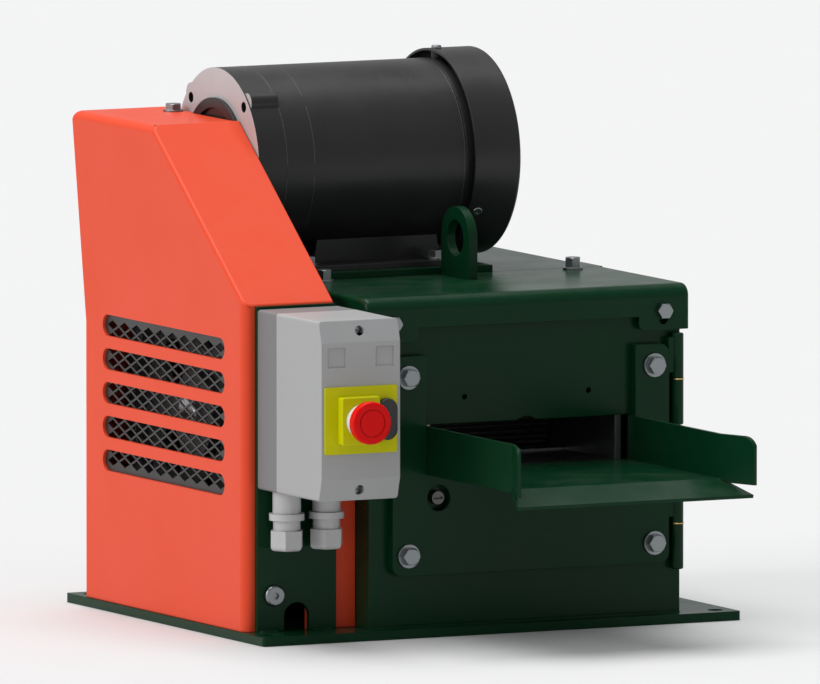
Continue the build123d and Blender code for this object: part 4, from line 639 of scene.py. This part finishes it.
class CHOPPER_OT_welds(bpy.types.Operator):
    """Lays weld beads where the plates of the frame meet."""

    bl_idname = "chopper.welds"
    bl_label = "Lay the welds"

    def execute(self, context):
        look = context.scene.chopper_welds
        green = green_paint(context.scene.chopper_paint)
        plate_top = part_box("base_plate")[1].z
        wall_past_bar, wall_thickness = 10 * MM, 8 * MM
        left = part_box("lifting_bar")[0].x - wall_past_bar
        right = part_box("lifting_bar")[1].x + wall_past_bar
        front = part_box("throat_frame")[0].y - wall_thickness
        back = -front
        beads = bmesh.new()
        corners = [
            (Vector((left, front, plate_top)), Vector((right, front, plate_top)), Vector((0, -1, 1))),
            (Vector((right, front, plate_top)), Vector((right, back, plate_top)), Vector((1, 0, 1))),
            (Vector((right, back, plate_top)), Vector((left, back, plate_top)), Vector((0, 1, 1))),
        ]
        for start, end, out in corners:
            weld_bead(beads, start, end, out.normalized(), look.radius, look.ripple)
        link_mesh("housing_weld", beads, "frame", green)
        beads = bmesh.new()
        bracket_low, bracket_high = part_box("control_bracket")
        inset, length, thinner = 2 * MM, 20 * MM, 0.8
        for x in (bracket_low.x + inset, bracket_high.x - inset - length):
            start = Vector((x, bracket_low.y, plate_top))
            weld_bead(
                beads, start, start + X * length, Vector((0, -1, 1)).normalized(), look.radius * thinner,
                look.ripple)
        link_mesh("bracket_weld", beads, "frame", green)
        return {"FINISHED"}


def strip(build, start, end, out, width, lift):
    """A narrow flat strip from start to end, lifted off the face that faces out."""
    along = (end - start).normalized()
    side = out.cross(along).normalized() * (width / 2)
    corners = [start - side, start + side, end + side, end - side]
    top = [build.verts.new(c + out * lift) for c in corners]
    low = [build.verts.new(c - out * lift) for c in corners]
    build.faces.new(top)
    build.faces.new(list(reversed(low)))
    for i in range(4):
        build.faces.new((top[i], low[i], low[(i + 1) % 4], top[(i + 1) % 4]))


class CHOPPER_OT_seams(bpy.types.Operator):
    """Draws the open seams of the belt guard as strips of painted shade, the deck's joint and the motor's
    seam rings with a painted highlight.
    """

    bl_idname = "chopper.seams"
    bl_label = "Draw the seams"

    def execute(self, context):
        look = context.scene.chopper_seams
        low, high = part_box("belt_guard")
        mesh = NODES["belt_guard"].data
        touching, inner_reach, edge_gap, lift = 0.01 * MM, 45 * MM, 0.9 * MM, 0.05 * MM
        upper = low.z + 0.6 * (high.z - low.z)
        corners = [v.co for v in mesh.vertices if v.co.x > high.x - inner_reach and v.co.z > upper]
        peak = min((c for c in corners if c.z > high.z - touching), key=lambda c: c.y)
        knee = min((c for c in corners if c.y < low.y + touching), key=lambda c: -c.z)
        slope = Vector((0, peak.y - knee.y, peak.z - knee.z)).normalized()
        out = Vector((0, -slope.z, slope.y))
        left = low.x + look.bend
        right = max(c.x for c in corners) - 0.3 * MM
        seams = bmesh.new()
        top_left, top_right = Vector((left, peak.y, peak.z)), Vector((right, peak.y, peak.z))
        low_left, low_right = Vector((left, knee.y, knee.z)), Vector((right, knee.y, knee.z))
        strip(seams, low_left + slope * MM, top_left - slope * MM, out, look.width, lift)
        down = -slope * edge_gap
        strip(seams, top_left + down, top_right + down, out, look.width * 0.7, lift)
        up = slope * edge_gap
        strip(seams, low_left + up, low_right + up, out, look.width, lift)
        # Painted shade: the seam strips are the orange darkened as if in shade. They run along the slanted
        # panel's left bend, its top edge and its lower edge, where the seams stand open.
        shade = material(
            "Guard seam shade", colour=(0.17, 0.018, 0.006), second=(0.11, 0.012, 0.004), rough=0.7, spread=0.1,
            shine=0.05, scale=500.0, bump=0.1, depth=0.0001)
        link_mesh("guard_seam_shade", seams, "frame", shade, smooth=False)

        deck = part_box("top_cover")
        joint = bmesh.new()
        y, height, inset = deck[1].y + 0.5 * MM, deck[1].z - 0.04 * MM, 4 * MM
        strip(
            joint, Vector((deck[0].x + inset, y, height)), Vector((deck[1].x - inset, y, height)), Z,
            0.9 * MM, 0.03 * MM)
        dark = material(
            "Open joint", colour=(0.003, 0.006, 0.004), second=(0.005, 0.009, 0.006), rough=0.85, spread=0.08,
            shine=0.05, scale=500.0, bump=0.1, depth=0.0001)
        link_mesh("deck_joint", joint, "frame", dark, smooth=False)

        frame_low, frame_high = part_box("motor_frame")
        middle = (frame_low + frame_high) / 2
        radius = (frame_high.z - frame_low.z) / 2
        rings = bmesh.new()
        half, rise, sunk, facets = 0.5 * MM, 0.18 * MM, 0.1 * MM, 96
        for x in (frame_low.x, frame_low.x + 27 * MM, frame_high.x - 2 * MM):
            centre = Vector((x, middle.y, middle.z))
            sections = []
            for i in range(facets):
                a = 2 * math.pi * i / facets
                spoke = Vector((0, math.cos(a), math.sin(a)))
                gap = 0.0 if i % 12 < 2 and x < frame_high.x - 4 * MM else 1.0
                sections.append([
                    rings.verts.new(centre + spoke * (radius - sunk) - X * half),
                    rings.verts.new(centre + spoke * (radius + rise * gap - 0.05 * MM)),
                    rings.verts.new(centre + spoke * (radius - sunk) + X * half),
                ])
            for near, far in zip(sections, sections[1:] + sections[:1]):
                rings.faces.new((near[0], near[1], far[1], far[0]))
                rings.faces.new((near[1], near[2], far[2], far[1]))
        # Painted highlight: the seam rings get an enamel lighter than the motor's. It stands for glints on
        # the edges of the bell joints.
        link_mesh("motor_seam_highlights", rings, "frame", material(
            "Seam ring highlight", colour=(0.05, 0.05, 0.05), second=(0.09, 0.09, 0.09), rough=0.4, spread=0.1,
            scale=500.0, bump=0.2, depth=0.0001))
        return {"FINISHED"}


class CHOPPER_OT_fittings(bpy.types.Operator):
    """Adds the screw threads and the grease nipples."""

    bl_idname = "chopper.fittings"
    bl_label = "Add the small fittings"

    def execute(self, context):
        look = context.scene.chopper_fittings
        plated = zinc(context.scene.chopper_metal)
        low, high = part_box("adjuster_screws")
        middle_z = (low.z + high.z) / 2
        radius = (high.z - low.z) / 2
        plain_end, unthreaded, root, crest = 16 * MM, 20 * MM, 0.5 * MM, 0.3 * MM
        threads = bmesh.new()
        for x in (low.x + radius, high.x - radius):
            spiral_ridge(
                threads, Vector((x, low.y + plain_end, middle_z)), Y, X, radius - root,
                high.y - low.y - unthreaded, look.thread_pitch, crest)
        link_mesh("adjuster_threads", threads, "frame", plated, smooth=False)

        bearing_low, bearing_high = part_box("bearing_housings")
        nipples = bmesh.new()
        profile = [(2.4, 0), (2.4, 2.2), (1.5, 2.8), (1.5, 4.4), (2.1, 5.2), (2.1, 6.0), (1.0, 7.0)]
        inset, rise = 22 * MM, 43.4 * MM
        centre = (bearing_low + bearing_high) / 2
        for x in (bearing_low.x + inset, bearing_high.x - inset):
            origin = Vector((x, centre.y, centre.z + rise))
            lathe(nipples, [(r * MM, h * MM) for r, h in profile], origin, Z, X, look.nipple_sides)
        link_mesh("grease_nipples", nipples, "frame", plated)
        return {"FINISHED"}


class CHOPPER_OT_stage(bpy.types.Operator):
    """Sets the pale floor, the soft lights and the camera."""

    bl_idname = "chopper.stage"
    bl_label = "Set the stage"

    def execute(self, context):
        look = context.scene.chopper_stage
        scene = context.scene
        half_width, drop = 120.0, 0.0003
        floor = bpy.data.meshes.new("studio_floor")
        build = bmesh.new()
        bmesh.ops.create_grid(build, x_segments=8, y_segments=8, size=half_width)
        for vertex in build.verts:
            vertex.co.z = -drop
        build.to_mesh(floor)
        build.free()
        ground = bpy.data.objects.new("studio_floor", floor)
        scene.collection.objects.link(ground)
        floor.materials.append(material(
            "Studio floor", colour=(0.6, 0.6, 0.6), second=(0.61, 0.61, 0.61), rough=0.8, shine=0.1,
            spread=0.04, scale=60.0, bump=0.02, depth=0.0002))

        world = bpy.data.worlds.new("Studio")
        world.use_nodes = True
        scene.world = world
        back = world.node_tree.nodes["Background"]
        back.inputs["Color"].default_value = (0.97, 0.98, 1.0, 1.0)
        back.inputs["Strength"].default_value = look.sky
        for name, aim, soft, power in (
            ("top_sun", (0.05, -0.15, -1.0), 50.0, look.top_light),
            ("left_sun", (1.0, 0.0, -0.45), 35.0, look.side_light),
        ):
            light = bpy.data.lights.new(name, "SUN")
            light.energy = power
            light.angle = math.radians(soft)
            lamp = bpy.data.objects.new(name, light)
            lamp.rotation_mode = "QUATERNION"
            lamp.rotation_quaternion = Vector(aim).to_track_quat("-Z", "Y")
            scene.collection.objects.link(lamp)

        camera = bpy.data.cameras.new("studio_camera")
        camera.lens = look.lens
        camera.sensor_width = 36.0
        camera.clip_end = 400.0
        camera.dof.use_dof = False
        eye = bpy.data.objects.new("studio_camera", camera)
        scene.collection.objects.link(eye)
        a, e = look.azimuth, look.elevation
        behind = Vector((math.sin(a) * math.cos(e), -math.cos(a) * math.cos(e), math.sin(e)))
        eye.location = Vector(look.target) + behind * look.distance
        eye.rotation_mode = "QUATERNION"
        eye.rotation_quaternion = (-behind).to_track_quat("-Z", "Y")
        scene.camera = eye
        scene.view_settings.view_transform = "Standard"
        return {"FINISHED"}


class CHOPPER_PT_panel(bpy.types.Panel):
    """Sidebar panel with the settings and the steps."""

    bl_idname = "CHOPPER_PT_panel"
    bl_label = "Drum chopper"
    bl_space_type = "VIEW_3D"
    bl_region_type = "UI"
    bl_category = "Chopper"

    def draw(self, context):
        for group, step in STEPS:
            box = self.layout.box()
            settings = getattr(context.scene, group, None)
            if settings is not None:
                for name in settings.__annotations__:
                    box.prop(settings, name)
            box.operator(step)


STEPS = (
    ("chopper_paint", "chopper.paint"),
    ("", "chopper.motor"),
    ("chopper_metal", "chopper.metal"),
    ("chopper_box", "chopper.box"),
    ("chopper_welds", "chopper.welds"),
    ("chopper_seams", "chopper.seams"),
    ("chopper_fittings", "chopper.fittings"),
    ("chopper_stage", "chopper.stage"),
)
SETTINGS = {
    "chopper_paint": ChopperPaint,
    "chopper_metal": ChopperMetal,
    "chopper_box": ChopperBox,
    "chopper_welds": ChopperWelds,
    "chopper_seams": ChopperSeams,
    "chopper_fittings": ChopperFittings,
    "chopper_stage": ChopperStage,
}
OPERATORS = (
    CHOPPER_OT_paint,
    CHOPPER_OT_motor,
    CHOPPER_OT_metal,
    CHOPPER_OT_box,
    CHOPPER_OT_welds,
    CHOPPER_OT_seams,
    CHOPPER_OT_fittings,
    CHOPPER_OT_stage,
)


def register():
    """Registers the settings, the operators and the panel."""
    for name, settings in SETTINGS.items():
        bpy.utils.register_class(settings)
        setattr(bpy.types.Scene, name, PointerProperty(type=settings))
    for operator in OPERATORS:
        bpy.utils.register_class(operator)
    bpy.utils.register_class(CHOPPER_PT_panel)


def unregister():
    """Takes away what register added."""
    bpy.utils.unregister_class(CHOPPER_PT_panel)
    for operator in reversed(OPERATORS):
        bpy.utils.unregister_class(operator)
    for name, settings in SETTINGS.items():
        delattr(bpy.types.Scene, name)
        bpy.utils.unregister_class(settings)


def main():
    """Builds all the looks."""
    register()
    for _, step in STEPS:
        family, action = step.split(".")
        getattr(getattr(bpy.ops, family), action)()


if __name__ == "__main__":
    main()
